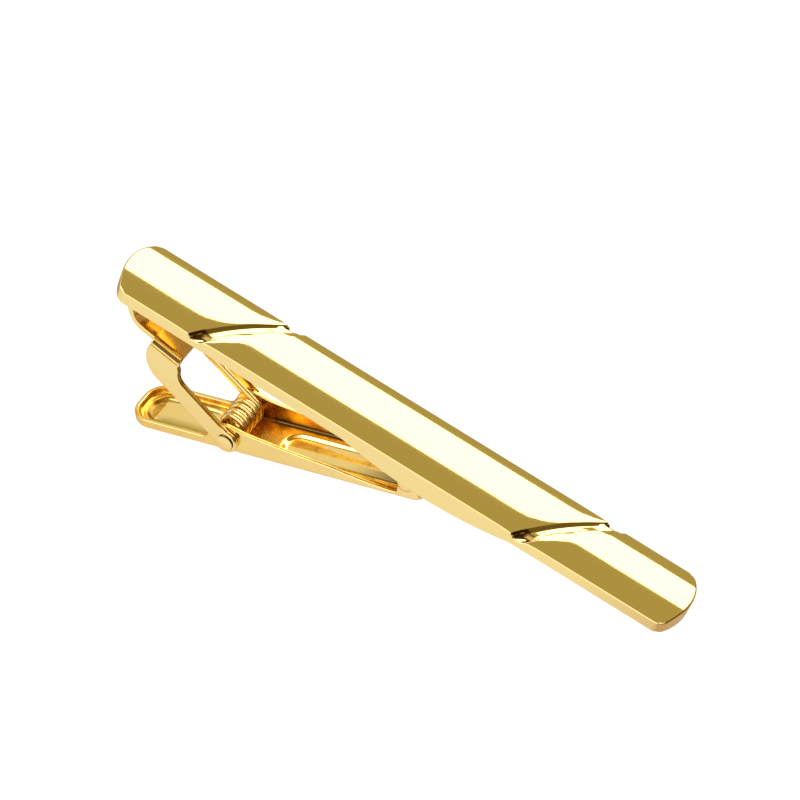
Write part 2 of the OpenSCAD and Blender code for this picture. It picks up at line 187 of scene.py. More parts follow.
floor_mesh = bpy.data.meshes.new("floor")
corners = [(sx * FLOOR_SIZE, sy * FLOOR_SIZE, cad_low.z) for sx, sy in ((-1, -1), (1, -1), (1, 1), (-1, 1))]
floor_mesh.from_pydata(corners, [], [(0, 1, 2, 3)])
floor = bpy.data.objects.new("floor", floor_mesh)
bpy.context.scene.collection.objects.link(floor)
floor_finish = bpy.data.materials.new("light_table")
floor_finish.use_nodes = True
bench = NodeBench(floor_finish.node_tree)
place = bench.add("ShaderNodeSeparateXYZ", {0: bench.add("ShaderNodeTexCoord").outputs["Object"]})
across = bench.add("ShaderNodeMapRange", {"Value": place.outputs[1], "From Min": MIRRORED_RAMP_ACROSS[0],
                                          "From Max": MIRRORED_RAMP_ACROSS[1]})
ramp = bench.add("ShaderNodeValToRGB", {0: across.outputs["Result"]})
ramp.color_ramp.elements.remove(ramp.color_ramp.elements[1])
for number, (where, colour) in enumerate(FLOOR_STOPS):
    stop = ramp.color_ramp.elements[0] if number == 0 else ramp.color_ramp.elements.new(where)
    stop.position = where
    stop.color = (*colour, 1.0)
# The camera sees the lit top, and the gold a picture of the whole table. From below it is see-through.
glow = bench.add("ShaderNodeEmission", {"Color": (1.0, 1.0, 1.0, 1.0), "Strength": FLOOR_GLOW})
matt = bench.add("ShaderNodeBsdfDiffuse", {"Color": (*FLOOR_MATT, 1.0)})
bright = bench.add("ShaderNodeAddShader", {0: glow.outputs[0], 1: matt.outputs[0]})
beyond = bench.add("ShaderNodeMapRange", {"Value": place.outputs[0], "From Min": MIRRORED_DARK_RIGHT[0],
                                          "From Max": MIRRORED_DARK_RIGHT[1]})
shaded = bench.add("ShaderNodeMix", {0: beyond.outputs["Result"], 6: ramp.outputs[0],
                                     7: (*FLOOR_RIGHT, 1.0)}, data_type="RGBA").outputs[2]
mirrored = bench.add("ShaderNodeEmission", {"Color": shaded, "Strength": 1.0})
looked_at = bench.add("ShaderNodeLightPath").outputs["Is Camera Ray"]
table = bench.add("ShaderNodeMixShader", {0: looked_at, 1: mirrored.outputs[0], 2: bright.outputs[0]})
clear = bench.add("ShaderNodeBsdfTransparent")
underside = bench.add("ShaderNodeNewGeometry").outputs["Backfacing"]
one_way = bench.add("ShaderNodeMixShader", {0: underside, 1: table.outputs[0], 2: clear.outputs[0]})
bench.add("ShaderNodeOutputMaterial", {"Surface": one_way.outputs[0]})
floor_mesh.materials.append(floor_finish)


# Front bar
# One length of brass, rolled to a crown, with two slanting grooves coined across its face and a shallow
# lens-shaped pad left on its back for the jaw to bite. Every edge is broken by buffing before plating.
MM = 0.001
BAR_LENGTH = 58.0
BAR_WIDTH = 7.0
EDGE_THICKNESS = 1.25
CROWN_RISE = 0.63
END_BOW = 1.31
SLIM_CROWN_RISE = 0.79
SLIM_CROWN_LIFT = 0.05
SIDE_BREAK = 0.11
END_BREAK = 0.2
CORNER_ROUND = 0.42
LEFT_GROOVE_X = -17.05
RIGHT_GROOVE_X = 16.2
GROOVE_RUN = 6.6
PAD_X = 4.25
PAD_LENGTH = 17.2
PAD_DEPTH = 1.05
PAD_RUN_IN = 0.03
BAR_TOP = EDGE_THICKNESS + CROWN_RISE
LIFT = cad_high.z / MM - BAR_TOP
# Linear tints of the plate: polished gold; a deeper orange with brown patches, painted bounce light between
# the gold's walls; and a dark tint for painted shade
GOLD_TINT = (0.913, 0.716, 0.305)
ORANGE_TINT = (0.97, 0.55, 0.07)
BROWN_TINT = (0.68, 0.35, 0.045)
PAINTED_SHADE_TINT = (0.13, 0.075, 0.02)
BUFFED_ROUGHNESS = 0.06
INSIDE_DULL = 0.2
HAIRLINE_DULL = 0.05
# Edges that turn by more than this many degrees stay sharp
SHARP_FROM = 50.0


def polished_gold(name, roughness, polish_lines=(40.0, 2600.0, 2600.0)):
    """Gold plate, polished along the piece by the buff. Hairlines from the buff and a faint ripple stir the
    reflections.
    Where the attribute inside is 1 the buff can't reach, so the plate is rougher, and it is painted a deeper
    orange, mottled at random with brown, as painted bounce light. It darkens to painted shade from 1 up to 2,
    and from 0 down to -1 on the polished gold."""
    finish = bpy.data.materials.new(name)
    finish.use_nodes = True
    bench = NodeBench(finish.node_tree)
    place = bench.add("ShaderNodeTexCoord").outputs["Object"]
    inside = bench.add("ShaderNodeAttribute", attribute_name="inside").outputs["Fac"]
    cloud = bench.add("ShaderNodeTexNoise", {"Vector": place, "Scale": 620.0, "Detail": 3.0, "Roughness": 0.6,
                                            "Distortion": 0.8}).outputs["Fac"]
    patches = bench.add("ShaderNodeMapRange", {"Value": cloud, "From Min": 0.40, "From Max": 0.56})
    # Painted bounce light: a deeper orange, mottled at random with brown
    painted_bounce = bench.add("ShaderNodeMix", {0: patches.outputs["Result"], 6: (*BROWN_TINT, 1.0),
                                       7: (*ORANGE_TINT, 1.0)}, data_type="RGBA").outputs[2]
    colour = bench.add("ShaderNodeMix", {0: inside, 6: (*GOLD_TINT, 1.0), 7: painted_bounce},
                       data_type="RGBA").outputs[2]
    # Painted shade: past 1 and below 0 the colour darkens to the dark tint
    above_one = bench.sum("SUBTRACT", inside, 1.0, clamp=True)
    below_zero = bench.sum("MULTIPLY", inside, -1.0, clamp=True)
    painted_dark = bench.sum("ADD", above_one, below_zero)
    colour = bench.add("ShaderNodeMix", {0: painted_dark, 6: colour, 7: (*PAINTED_SHADE_TINT, 1.0)},
                       data_type="RGBA").outputs[2]
    lines_at = bench.add("ShaderNodeMapping", {"Vector": place, "Scale": polish_lines}).outputs[0]
    hairline = bench.add("ShaderNodeTexNoise", {"Vector": lines_at, "Scale": 6.0,
                                                "Detail": 2.0}).outputs["Fac"]
    worn = bench.add("ShaderNodeMapRange", {"Value": hairline, "From Min": 0.35, "From Max": 0.8,
                                            "To Min": roughness,
                                            "To Max": roughness + HAIRLINE_DULL}).outputs["Result"]
    unbuffed = bench.sum("MINIMUM", bench.sum("MAXIMUM", inside, 0.0), 1.0)
    worn = bench.sum("ADD", worn, bench.sum("MULTIPLY", unbuffed, INSIDE_DULL))
    ripple = bench.add("ShaderNodeTexNoise", {"Vector": place, "Scale": 260.0, "Detail": 1.0}).outputs["Fac"]
    stir = bench.sum("ADD", ripple, bench.sum("MULTIPLY", hairline, 0.04))
    bump = bench.add("ShaderNodeBump", {"Height": stir, "Strength": 0.25, "Distance": 0.00001}).outputs[0]
    gold = bench.add("ShaderNodeBsdfPrincipled", {"Base Color": colour, "Roughness": worn, "Normal": bump})
    gold.inputs["Metallic"].default_value = 1.0
    bench.add("ShaderNodeOutputMaterial", {"Surface": gold.outputs[0]})
    return finish


def grid_faces(count_u, count_v, start=0, flip=False):
    """Quads between neighbouring points of a count_u by count_v grid, numbered row by row along u."""
    u, v = np.meshgrid(np.arange(count_u - 1), np.arange(count_v - 1), indexing="ij")
    first = start + u * count_v + v
    quads = np.stack([first, first + count_v, first + count_v + 1, first + 1], axis=-1).reshape(-1, 4)
    return quads[:, ::-1] if flip else quads


def grid_rim(count_u, count_v, start=0):
    """The numbers of a grid's outermost points, once round against the clock, seen from above."""
    near = np.arange(count_u) * count_v
    right_side = (count_u - 1) * count_v + np.arange(1, count_v)
    far = (np.arange(count_u - 2, -1, -1)) * count_v + count_v - 1
    left_side = np.arange(count_v - 2, 0, -1)
    return start + np.concatenate([near, right_side, far, left_side])


def ring_faces(inner, outer):
    """Quads between two closed rings of points, given as two lists of the same length."""
    return np.stack([inner, outer, np.roll(outer, -1), np.roll(inner, -1)], axis=-1)


def closed_shell(top, rings, bottom):
    """Points and quads of a body: a top grid, rings that run from its rim round the edge, a bottom grid."""
    count_u, count_v = top.shape[:2]
    points = [top.reshape(-1, 3)]
    faces = [grid_faces(count_u, count_v)]
    rim = grid_rim(count_u, count_v)
    total = count_u * count_v
    for ring in rings:
        numbers = total + np.arange(len(ring))
        faces.append(ring_faces(rim, numbers))
        points.append(ring)
        rim = numbers
        total += len(ring)
    points.append(bottom.reshape(-1, 3))
    faces.append(grid_faces(count_u, count_v, total, flip=True))
    faces.append(ring_faces(rim, grid_rim(count_u, count_v, total)))
    return np.concatenate(points), np.concatenate(faces)


def add_piece(name, body, slot, finish, points, faces, inside=None):
    """Puts points, in millimetres above the bar's back, and faces into a smooth piece. It rides on a body,
    where one is named. Inside says for each point what the gold's attribute of that name is."""
    mesh = bpy.data.meshes.new(name)
    placed = (np.asarray(points, float) + np.array([0.0, 0.0, LIFT])) * MM
    mesh.from_pydata(placed.tolist(), [], faces if isinstance(faces, list) else faces.tolist())
    mesh.polygons.foreach_set("use_smooth", np.ones(len(mesh.polygons), bool))
    mesh.set_sharp_from_angle(angle=math.radians(SHARP_FROM))
    shade = np.zeros(len(placed)) if inside is None else inside
    mesh.attributes.new("inside", "FLOAT", "POINT").data.foreach_set("value", shade)
    mesh.materials.append(finish)
    mesh.update()
    piece = bpy.data.objects.new(name, mesh)
    bpy.context.scene.collection.objects.link(piece)
    if body:
        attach(piece, body)
    return piece


def smooth_step(low, high, value):
    """0 below low and 1 above high, joined by a cubic that is level at both."""
    share = np.clip((value - low) / (high - low), 0.0, 1.0)
    return share * share * (3.0 - 2.0 * share)


def round_corners(a, b, radius):
    """Moves points in the square corner of a grid onto circles, so that the corner is round."""
    p = np.clip((radius - a) / radius, 0.0, 1.0)
    q = np.clip((radius - b) / radius, 0.0, 1.0)
    inside = (p > 0) & (q > 0)
    new_a = np.where(inside, radius - radius * p * np.sqrt(1.0 - q * q / 2.0), a)
    new_b = np.where(inside, radius - radius * q * np.sqrt(1.0 - p * p / 2.0), b)
    return new_a, new_b


def loop_normals(loop):
    """Outward directions, level with the floor, at the points of a closed loop that runs against the clock:
    square to the line between the two neighbours."""
    along = np.roll(loop, -1, axis=0) - np.roll(loop, 1, axis=0)
    outward = np.stack([along[:, 1], -along[:, 0]], axis=-1)
    return outward / np.linalg.norm(outward, axis=1, keepdims=True)


# The groove's section, square to its run: a rolled shoulder, a steep wall, a nearly level floor, a low
# step, and a long ramp back up to the face. Each pair is a distance across and a depth.
GROOVE_SECTION = np.array([
    (-1.60, 0.000), (-1.20, 0.006), (-0.90, 0.020), (-0.65, 0.040), (-0.46, 0.066), (-0.34, 0.094),
    (-0.27, 0.130), (-0.22, 0.180), (-0.05, 0.350), (-0.01, 0.378), (0.04, 0.385), (0.12, 0.378),
    (0.30, 0.355), (0.46, 0.330), (0.50, 0.318), (0.545, 0.262), (0.58, 0.236), (0.68, 0.196),
    (0.80, 0.152), (0.92, 0.116), (1.05, 0.084), (1.20, 0.052), (1.38, 0.026), (1.55, 0.009), (1.75, 0.000)])
GROOVE_SLANT = GROOVE_RUN / BAR_WIDTH
GROOVE_TILT = math.atan(GROOVE_SLANT)
SECTION_SPACING = 0.03
# Places across the section: the wall's top, the step up from the floor, and the ramp's end
WALL_CREST = -0.22
STEP_START = 0.49
STEP_END = 0.58
RAMP_END = 1.75
WIDENING = 0.075
RAMP_DRAWN_IN = 0.5
RAMP_LOWERED = 0.88
FLOOR_LEVELLED = 0.5
LEVEL_FROM = 1.9
POCKET_LEVEL = 0.74
POCKET_START = 2.62
POCKET_SOFT = 0.1
FAR_POCKET = (2.98, 3.12)
# Painted shade in the pockets, and a painted line along the step and along the bar's right end
POCKET_PAINTED_SHADE = 0.8
EDGE_PAINTED_LINE = 1.7


def cubic_through(x, d, slopes, samples):
    """Heights at the samples of a curve through points with given slopes: a cubic between each two points."""
    k = np.clip(np.searchsorted(x, samples, side="right") - 1, 0, len(x) - 2)
    h = x[k + 1] - x[k]
    t = np.clip((samples - x[k]) / h, 0.0, 1.0)
    return ((1 + 2 * t) * (1 - t) ** 2 * d[k] + t * (1 - t) ** 2 * h * slopes[k]
            + t * t * (3 - 2 * t) * d[k + 1] + t * t * (t - 1) * h * slopes[k + 1])


def smooth_section(pairs, spacing):
    """A smooth curve through the pairs, sampled at about the spacing. Its slope at a pair is that of the
    parabola through it and both neighbours."""
    x, d = pairs[:, 0], pairs[:, 1]
    samples = np.concatenate([np.linspace(x[i], x[i + 1], max(2, int((x[i + 1] - x[i]) / spacing) + 2))[:-1]
                              for i in range(len(x) - 1)] + [x[-1:]])
    return samples, cubic_through(x, d, np.gradient(d, x), samples)


def crown(y, rise, top):
    """Height of a face that is an arc of a circle across the bar."""
    radius = ((BAR_WIDTH / 2) ** 2 + rise ** 2) / (2 * rise)
    return top - radius + np.sqrt(radius ** 2 - y ** 2)


def window(low, high, soft, value):
    """1 between low and high, falling to 0 over soft on each side."""
    return smooth_step(low - soft, low, value) * (1.0 - smooth_step(high, high + soft, value))


def groove(middle_x, y, right_rise, right_top):
    """One groove's columns: places, heights and painted shade. The section is laid square to the slant and
    sunk below the face. Its ramp is short and low at the far edge, and both its ends are cut down to pockets."""
    across, depth = smooth_section(GROOVE_SECTION, SECTION_SPACING)
    across, depth, y = across[:, None], depth[:, None], y[None, :]
    # The floor widens towards the far edge, where the ramp is drawn in
    carried = smooth_step(0.1, 0.5, across) * (1 - smooth_step(0.9, RAMP_END, across))
    widened = WIDENING * np.clip(y + 1.0, 0.0, 3.4)
    drawn_in = RAMP_DRAWN_IN * smooth_step(0.8, 3.2, y) * np.maximum(across - STEP_END, 0.0)
    place = across + carried * widened - drawn_in
    x = middle_x + place / math.cos(GROOVE_TILT) + GROOVE_SLANT * y
    # The section passes from the face on its left to the face on its right
    share = smooth_step(-0.1, 0.5, across)
    face = (1 - share) * crown(y, CROWN_RISE, BAR_TOP) + share * crown(y, right_rise, right_top)
    past_step = smooth_step(STEP_START, STEP_END, across)
    lowered = RAMP_LOWERED * smooth_step(-0.4, 1.5, y) * past_step
    on_floor = smooth_step(WALL_CREST, 0.0, across) * (1 - past_step)
    levelled = crown(np.minimum(y, LEVEL_FROM), CROWN_RISE, BAR_TOP) - crown(y, CROWN_RISE, BAR_TOP)
    main = face - depth * (1 - lowered) + FLOOR_LEVELLED * on_floor * levelled
    # At both long edges the floor between wall and ramp is cut down to one level
    wall = smooth_step(WALL_CREST, -0.02, across)
    ramp = smooth_step(0.42, 1.05, across)
    pocket = np.minimum(face + (POCKET_LEVEL - face) * wall * (1 - ramp), main)
    near_pocket = smooth_step(POCKET_START - POCKET_SOFT, POCKET_START + POCKET_SOFT, -y)
    at_edge = near_pocket + smooth_step(*FAR_POCKET, y)
    # Painted shade darkens the wall's near end, the near pocket's end and the far tip, and a painted line
    # runs on the step
    painted_shade = -window(-0.30, 0.0, 0.05, across) * (1 - smooth_step(-2.45, -2.15, y))
    painted_shade -= POCKET_PAINTED_SHADE * window(0.0, 0.5, 0.05, across) * window(-2.80, -2.42, 0.08, y)
    painted_shade -= POCKET_PAINTED_SHADE * window(-0.3, 0.25, 0.1, across) * smooth_step(2.9, 3.1, y)
    on_edge = window(STEP_END - 0.06, STEP_END + 0.05, 0.05, across)
    edge_line = EDGE_PAINTED_LINE * on_edge * smooth_step(-2.2, -1.6, y)
    return x, main + (pocket - main) * at_edge, painted_shade + edge_line


# From here out to the long edges the rows of the top lie closer, for the grooves' pockets
FINE_FROM = 2.3


def bar_surface():
    """The bar's top: columns follow the ends and the grooves, rows run along the bar. Also gives the painted
    shade and the place of the ends."""
    half = BAR_WIDTH / 2 - SIDE_BREAK
    fine = np.linspace(-half, -FINE_FROM, 29)[:-1]
    y = np.concatenate([fine, np.linspace(-FINE_FROM, FINE_FROM, 42), -fine[::-1]])
    end_radius = ((BAR_WIDTH / 2) ** 2 + END_BOW ** 2) / (2 * END_BOW)
    end_x = BAR_LENGTH / 2 - end_radius + np.sqrt(end_radius ** 2 - y ** 2) - END_BREAK
    left = groove(LEFT_GROOVE_X, y, CROWN_RISE, BAR_TOP)
    right = groove(RIGHT_GROOVE_X, y, SLIM_CROWN_RISE, BAR_TOP + SLIM_CROWN_LIFT)

    def plain(from_x, to_x, shares, rise, top):
        """Columns of face with no painted shade between two places, at shares of the way."""
        x = from_x + shares[:, None] * (to_x - from_x)
        z = np.tile(crown(y, rise, top), (len(shares), 1))
        return x, z, 0 * x

    end_shares = np.concatenate([np.linspace(0, 0.06, 13)[:-1], np.linspace(0.06, 0.16, 6)[:-1],
                                 np.linspace(0.16, 1, 30)[:-1]])
    spans = (plain(-end_x, left[0][0], end_shares, CROWN_RISE, BAR_TOP), left,
             plain(left[0][-1], right[0][0], np.linspace(0, 1, 60)[1:-1], CROWN_RISE, BAR_TOP), right,
             plain(right[0][-1], end_x, 1 - end_shares[::-1], SLIM_CROWN_RISE, BAR_TOP + SLIM_CROWN_LIFT))
    x, z, painted_shade = (np.concatenate([span[part] for span in spans]) for part in range(3))
    return x, np.tile(y, (len(x), 1)), z, painted_shade, end_x


def bar_back(x):
    """Height of the bar's back: level, with a pad that is an arc of a circle. A hyperbola that has the arc
    and the level back for its asymptotes runs the one in to the other."""
    pad_radius = ((PAD_LENGTH / 2) ** 2 + PAD_DEPTH ** 2) / (2 * PAD_DEPTH)
    bulge = np.sqrt(np.maximum(pad_radius ** 2 - (x - PAD_X) ** 2, 0.0)) - (pad_radius - PAD_DEPTH)
    return -0.5 * (bulge + np.sqrt(bulge ** 2 + PAD_RUN_IN ** 2))


# Slopes of the face where it meets the broken edge: the crown's at the long edges, and the ends'
EDGE_SLOPE = math.asin(0.34)
END_SLOPE = 0.04
BACK_BREAK = 0.6


def front_bar():
    """The bar's body: the top surface with rounded corners, rings round the edge, and the back."""
    x, y, z, painted_shade, end_x = bar_surface()
    half = BAR_WIDTH / 2 - SIDE_BREAK
    new_a, new_b = round_corners(end_x - np.abs(x), half - np.abs(y), CORNER_ROUND)
    x = np.sign(x) * (end_x - new_a)
    z += crown(half - new_b, CROWN_RISE, BAR_TOP) - crown(y, CROWN_RISE, BAR_TOP)
    y = np.sign(y) * (half - new_b)
    top = np.stack([x, y, z], axis=-1)
    count_u, count_v = x.shape
    rim = top.reshape(-1, 3)[grid_rim(count_u, count_v)]
    outward = loop_normals(rim[:, :2])
    level = np.abs(outward[:, 0])[:, None]
    cut = SIDE_BREAK + (END_BREAK - SIDE_BREAK) * smooth_step(0.2, 0.8, level)
    slope = EDGE_SLOPE * (1 - level) + END_SLOPE * level
    radius = cut / (1 - np.sin(slope))
    rings = []
    for share in np.linspace(0.0, 1.0, 8)[1:]:
        angle = slope + share * (math.pi / 2 - slope)
        out = radius * (np.sin(angle) - np.sin(slope))
        drop = radius * (np.cos(slope) - np.cos(angle))
        rings.append(np.concatenate([rim[:, :2] + outward * out, rim[:, 2:] - drop], axis=1))
    bottom = np.stack([x, y, bar_back(x)], axis=-1)
    low = bottom.reshape(-1, 3)[grid_rim(count_u, count_v)]
    edge = BACK_BREAK * cut
    wall_top = rings[-1]
    foot = np.concatenate([low[:, :2] + outward * cut, low[:, 2:] + edge], axis=1)
    for share in (0.02, 0.5, 0.98):
        rings.append(wall_top + share * (foot - wall_top))
    for angle in np.linspace(0.0, math.pi / 2, 5):
        out = cut - edge * (1 - math.cos(angle))
        rise = edge * (1 - math.sin(angle))
        rings.append(np.concatenate([low[:, :2] + outward * out, low[:, 2:] + rise], axis=1))
    # A painted line, orange going dark, along the right end, on the first two rings
    end_line = EDGE_PAINTED_LINE * smooth_step(0.6, 0.9, outward[:, 0])
    ring_painted_shades = [end_line if number < 2 else 0 * end_line for number in range(len(rings))]
    painted_shades = np.concatenate([painted_shade.ravel(), *ring_painted_shades, np.zeros(count_u * count_v)])
    return *closed_shell(top, rings, bottom), painted_shades


gold = polished_gold("polished_gold", BUFFED_ROUGHNESS)
bar = add_piece("front_bar_face", "bar_assembly", "polished_gold", gold, *front_bar())
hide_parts("front_bar")


# Bracket
# One strip of sheet, blanked and bent like a staple: a foot under the bar and an arm down each side to a
# round eye. The foot's left end is curled up and soldered to the bar's back, with a relief cut at each arm.
SHEET = 0.5
STRIP_HALF = 3.2
BEND_RADIUS = 0.8
INNER_BEND = 0.3
NECK_LEFT = -23.70
NECK_RIGHT = -20.5
FOOT_TOP = -2.45
FOOT_SLOPE = -0.19
SLOPE_FADE = 1.2
ELBOW = (-20.87, -4.05)
ELBOW_RADIUS = 2.93
ELBOW_START = 170.0
THROAT_RADIUS = 1.5
THROAT = (-18.75, -4.39)
EYE_RADIUS = 1.15
ARM_ABOVE = 1.05
ARM_BELOW = 0.85
ARM_SLOPE = math.radians(24.4)
PIVOT_X = -14.1
PIVOT_Z = -9.3
SHEET_BREAK = 0.16
FACE_RINGS = 9
EDGE_TURNS = 4
FIRST_INNER = FACE_RINGS + 2 * EDGE_TURNS
TINY = 1e-12


def arc_points(centre, radius, start, stop, count):
    """Points on a circle from one angle to another, in degrees."""
    angle = np.radians(np.linspace(start, stop, count))
    return np.stack([centre[0] + radius * np.cos(angle), centre[1] + radius * np.sin(angle)], axis=-1)


def line_points(start, stop, count):
    """Evenly spaced points on a straight line, without its end."""
    share = np.linspace(0.0, 1.0, count + 1)[:-1, None]
    return np.asarray(start) + share * (np.asarray(stop) - np.asarray(start))


def arm_sides():
    """An arm's two long edges from its top, in the side view, as lists of the same length."""
    slope = math.degrees(ARM_SLOPE)
    along = np.array([math.cos(ARM_SLOPE), -math.sin(ARM_SLOPE)])
    square = np.array([math.sin(ARM_SLOPE), math.cos(ARM_SLOPE)])
    pivot = np.array([PIVOT_X, PIVOT_Z])
    top = FOOT_TOP - BEND_RADIUS
    elbow = np.array(ELBOW)
    throat = np.array(THROAT)
    elbow_end = elbow - ELBOW_RADIUS * square
    throat_end = throat - THROAT_RADIUS * square
    low_turn = math.degrees(math.acos(ARM_BELOW / EYE_RADIUS))
    low_meet = pivot - ARM_BELOW * square - along * EYE_RADIUS * math.sin(math.radians(low_turn))
    high_turn = math.degrees(math.asin(ARM_ABOVE / EYE_RADIUS))
    high_meet = pivot + EYE_RADIUS * (math.sin(math.radians(high_turn)) * square
                                      - math.cos(math.radians(high_turn)) * along)
    bulge = arc_points(elbow, ELBOW_RADIUS, ELBOW_START, 270 - slope, 29)
    low = np.concatenate([
        line_points((NECK_LEFT, top), bulge[0], 8),
        bulge[:-1],
        line_points(elbow_end, low_meet, 24),
        arc_points(pivot, EYE_RADIUS, 270 - slope - low_turn, 360 - slope, 29)])
    high = np.concatenate([
        line_points((NECK_RIGHT, top), throat - (THROAT_RADIUS, 0.0), 8),
        arc_points(throat, THROAT_RADIUS, 180, 270 - slope, 29)[:-1],
        line_points(throat_end, high_meet, 24),
        arc_points(pivot, EYE_RADIUS, 180 - slope - high_turn, -slope, 29)])
    return low, high


def strip_outline():
    """The strip's two long edges from eye to eye, laid flat: across the bar's length, and along the strip."""
    flat_half = STRIP_HALF - BEND_RADIUS
    arm_turn = flat_half + BEND_RADIUS * math.pi / 2
    bend = np.linspace(flat_half, arm_turn, 19)[:-1]
    middle = np.concatenate([-bend[::-1], np.linspace(-flat_half, flat_half, 17)[1:-1], bend])

    def lay(side):
        """An edge from eye to eye: up one arm, over the foot and down the other arm."""
        arm = np.stack([side[:, 0], arm_turn + FOOT_TOP - BEND_RADIUS - side[:, 1]], axis=-1)
        foot = np.stack([np.full_like(middle, side[0, 0]), middle], axis=-1)
        return np.concatenate([arm[::-1] * (1, -1), foot, arm])

    low, high = arm_sides()
    return lay(low), lay(high)


def fold(flat, depth):
    """Bends the flat strip: over the sloping foot, round a tight bend at each side, and down the arms.
    Inside the sheet the bend's middle moves out and its radius falls, which keeps the sheet's thickness."""
    x, along = flat[..., 0], flat[..., 1]
    inner = depth / SHEET
    radius = BEND_RADIUS + (INNER_BEND - BEND_RADIUS) * inner
    shift = SHEET + INNER_BEND - BEND_RADIUS
    flat_half = STRIP_HALF - BEND_RADIUS
    turn = np.clip((np.abs(along) - flat_half) / BEND_RADIUS, 0.0, math.pi / 2)
    down = np.maximum(np.abs(along) - flat_half - BEND_RADIUS * math.pi / 2, 0.0)
    level = np.minimum(np.abs(along), flat_half) * (flat_half - shift * inner) / flat_half
    y = np.sign(along) * (level + radius * np.sin(turn))
    fade = np.maximum(1.0 - down / SLOPE_FADE, 0.0)
    lowered = (FOOT_SLOPE * (x - NECK_LEFT) - shift * inner) * fade
    z = FOOT_TOP - BEND_RADIUS + lowered + radius * np.cos(turn) - down
    return np.stack([x, y, z], axis=-1)


def side_normals(edge, other):
    """Outward directions along one long edge of the strip, in the flat, away from the other edge."""
    along = np.gradient(edge, axis=0)
    normal = np.stack([along[:, 1], -along[:, 0]], axis=-1)
    normal /= np.linalg.norm(normal, axis=1, keepdims=True) + TINY
    facing = np.sum(normal * (edge - other), axis=1)
    sign = np.where(np.sum(np.sign(facing)) >= 0, 1.0, -1.0)
    return normal * sign


def tube_faces(rows, count):
    """Quads of a tube: rows of rings of count points, each ring closed on itself."""
    k, r = np.meshgrid(np.arange(rows - 1), np.arange(count), indexing="ij")
    after = (r + 1) % count
    return np.stack([k * count + r, k * count + after, (k + 1) * count + after, (k + 1) * count + r],
                    axis=-1).reshape(-1, 4)


def rounded_strip(low, high, low_out, high_out, place, broken):
    """A sheet between two edges: each row is a ring straight over the outer face, round one edge, back over
    the inner face, and round the other edge."""
    shares = np.linspace(0.0, 1.0, FACE_RINGS)
    turns = np.linspace(0.0, math.pi / 2, EDGE_TURNS + 1)
    inset_low, inset_high = low - broken * low_out, high - broken * high_out

    def round_edge(inset, out, from_inner):
        """Rings round an edge: one quarter circle off the first face, and one onto the other."""
        rings = []
        steps = [(turn, from_inner) for turn in turns[1:]]
        steps += [(turn, not from_inner) for turn in turns[:0:-1]]
        for turn, inner in steps:
            depth = broken * (1 - math.cos(turn))
            rings.append(place(inset + broken * math.sin(turn) * out, SHEET - depth if inner else depth))
        return rings

    outer_face = [place(inset_low + share * (inset_high - inset_low), 0.0) for share in shares]
    inner_face = [place(inset_low + share * (inset_high - inset_low), SHEET) for share in shares[::-1]]
    rings = (outer_face + round_edge(inset_high, high_out, False)
             + inner_face + round_edge(inset_low, low_out, True))
    grid = np.stack(rings, axis=1)
    rows, count = grid.shape[:2]
    return grid.reshape(-1, 3), tube_faces(rows, count), rows, count


def cap_faces(count, start, flip):
    """Quads that close a ring made of two facing halves, joined point to point."""
    half = count // 2
    a = start + np.arange(half - 1)
    b = start + count - 1 - np.arange(half - 1)
    quads = np.stack([a, a + 1, b - 1, b], axis=-1)
    return quads[:, ::-1] if flip else quads


low_edge, high_edge = strip_outline()
low_out = side_normals(low_edge, high_edge)
high_out = side_normals(high_edge, low_edge)
points, faces, rows, count = rounded_strip(low_edge, high_edge, low_out, high_out, fold, SHEET_BREAK)
faces = np.concatenate([faces, cap_faces(count, 0, True), cap_faces(count, (rows - 1) * count, False)])
# The buff misses the arms' inner faces and reaches the foot only in part, so they are rougher and get painted
# orange bounce light, less on the foot. Two painted dark lines run along each fold's outside, and painted
# shade darkens the blanked right-hand edges down to the eyes.
FOOT_REACH = 0.55
FOOT_SHADE_CUT = 0.7
UPPER_PAINTED_SHADE = 2.0
LOWER_PAINTED_SHADE = 1.5
BLANKED_RINGS = (8, 9, 10, 11, 12, 13, 16, 17)
EDGE_PAINTED_SHADES = (0.0, 1.9, 1.9, 1.3, 0.95, 1.85, 1.9, 0.0)
ring_place = np.arange(count)
outer_ring = ring_place < FACE_RINGS
inner_ring = (ring_place >= FIRST_INNER) & (ring_place < FIRST_INNER + FACE_RINGS)
shade = np.tile(np.where(outer_ring | inner_ring, 1.0, 0.0), rows)
across = np.abs(points[:, 1])
fold_turn = np.degrees(np.arcsin(np.clip((across - STRIP_HALF + BEND_RADIUS) / BEND_RADIUS, 0.0, 1.0)))
upper_line = smooth_step(33, 38, fold_turn) * (1 - smooth_step(61, 65, fold_turn))
lower_line = smooth_step(71, 75, fold_turn) * (1 - smooth_step(80, 84, fold_turn))
on_foot = points[:, 2] > FOOT_TOP - BEND_RADIUS - FOOT_REACH
shade *= 1.0 - smooth_step(28, 34, fold_turn) * np.tile(ring_place < FIRST_INNER, rows)
shade *= 1.0 - FOOT_SHADE_CUT * on_foot
shade += (UPPER_PAINTED_SHADE * upper_line + LOWER_PAINTED_SHADE * lower_line) * on_foot * np.tile(outer_ring, rows)
edge_painted_shade = np.interp(ring_place, BLANKED_RINGS, EDGE_PAINTED_SHADES)
from_pivot = np.hypot(points[:, 0] - PIVOT_X, points[:, 2] - PIVOT_Z)
shade += np.tile(edge_painted_shade, rows) * (1 - on_foot) * smooth_step(1.3, 1.9, from_pivot)
bracket = add_piece("bracket_strip", "bar_assembly", "polished_gold", gold, points, faces, shade)
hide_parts("bracket")

# The foot's curled end
CURL_X = -24.2
CURL_RADIUS = 2.82
CURL_START = 180.2
CURL_END = 259.2
NOTCH_X = -23.75
TONGUE_HALF = 2.75
TONGUE_INSET = 0.12
CURL_BREAK = 0.09
CURL_CLEAR = 0.001
CURL_INSIDE = 0.5


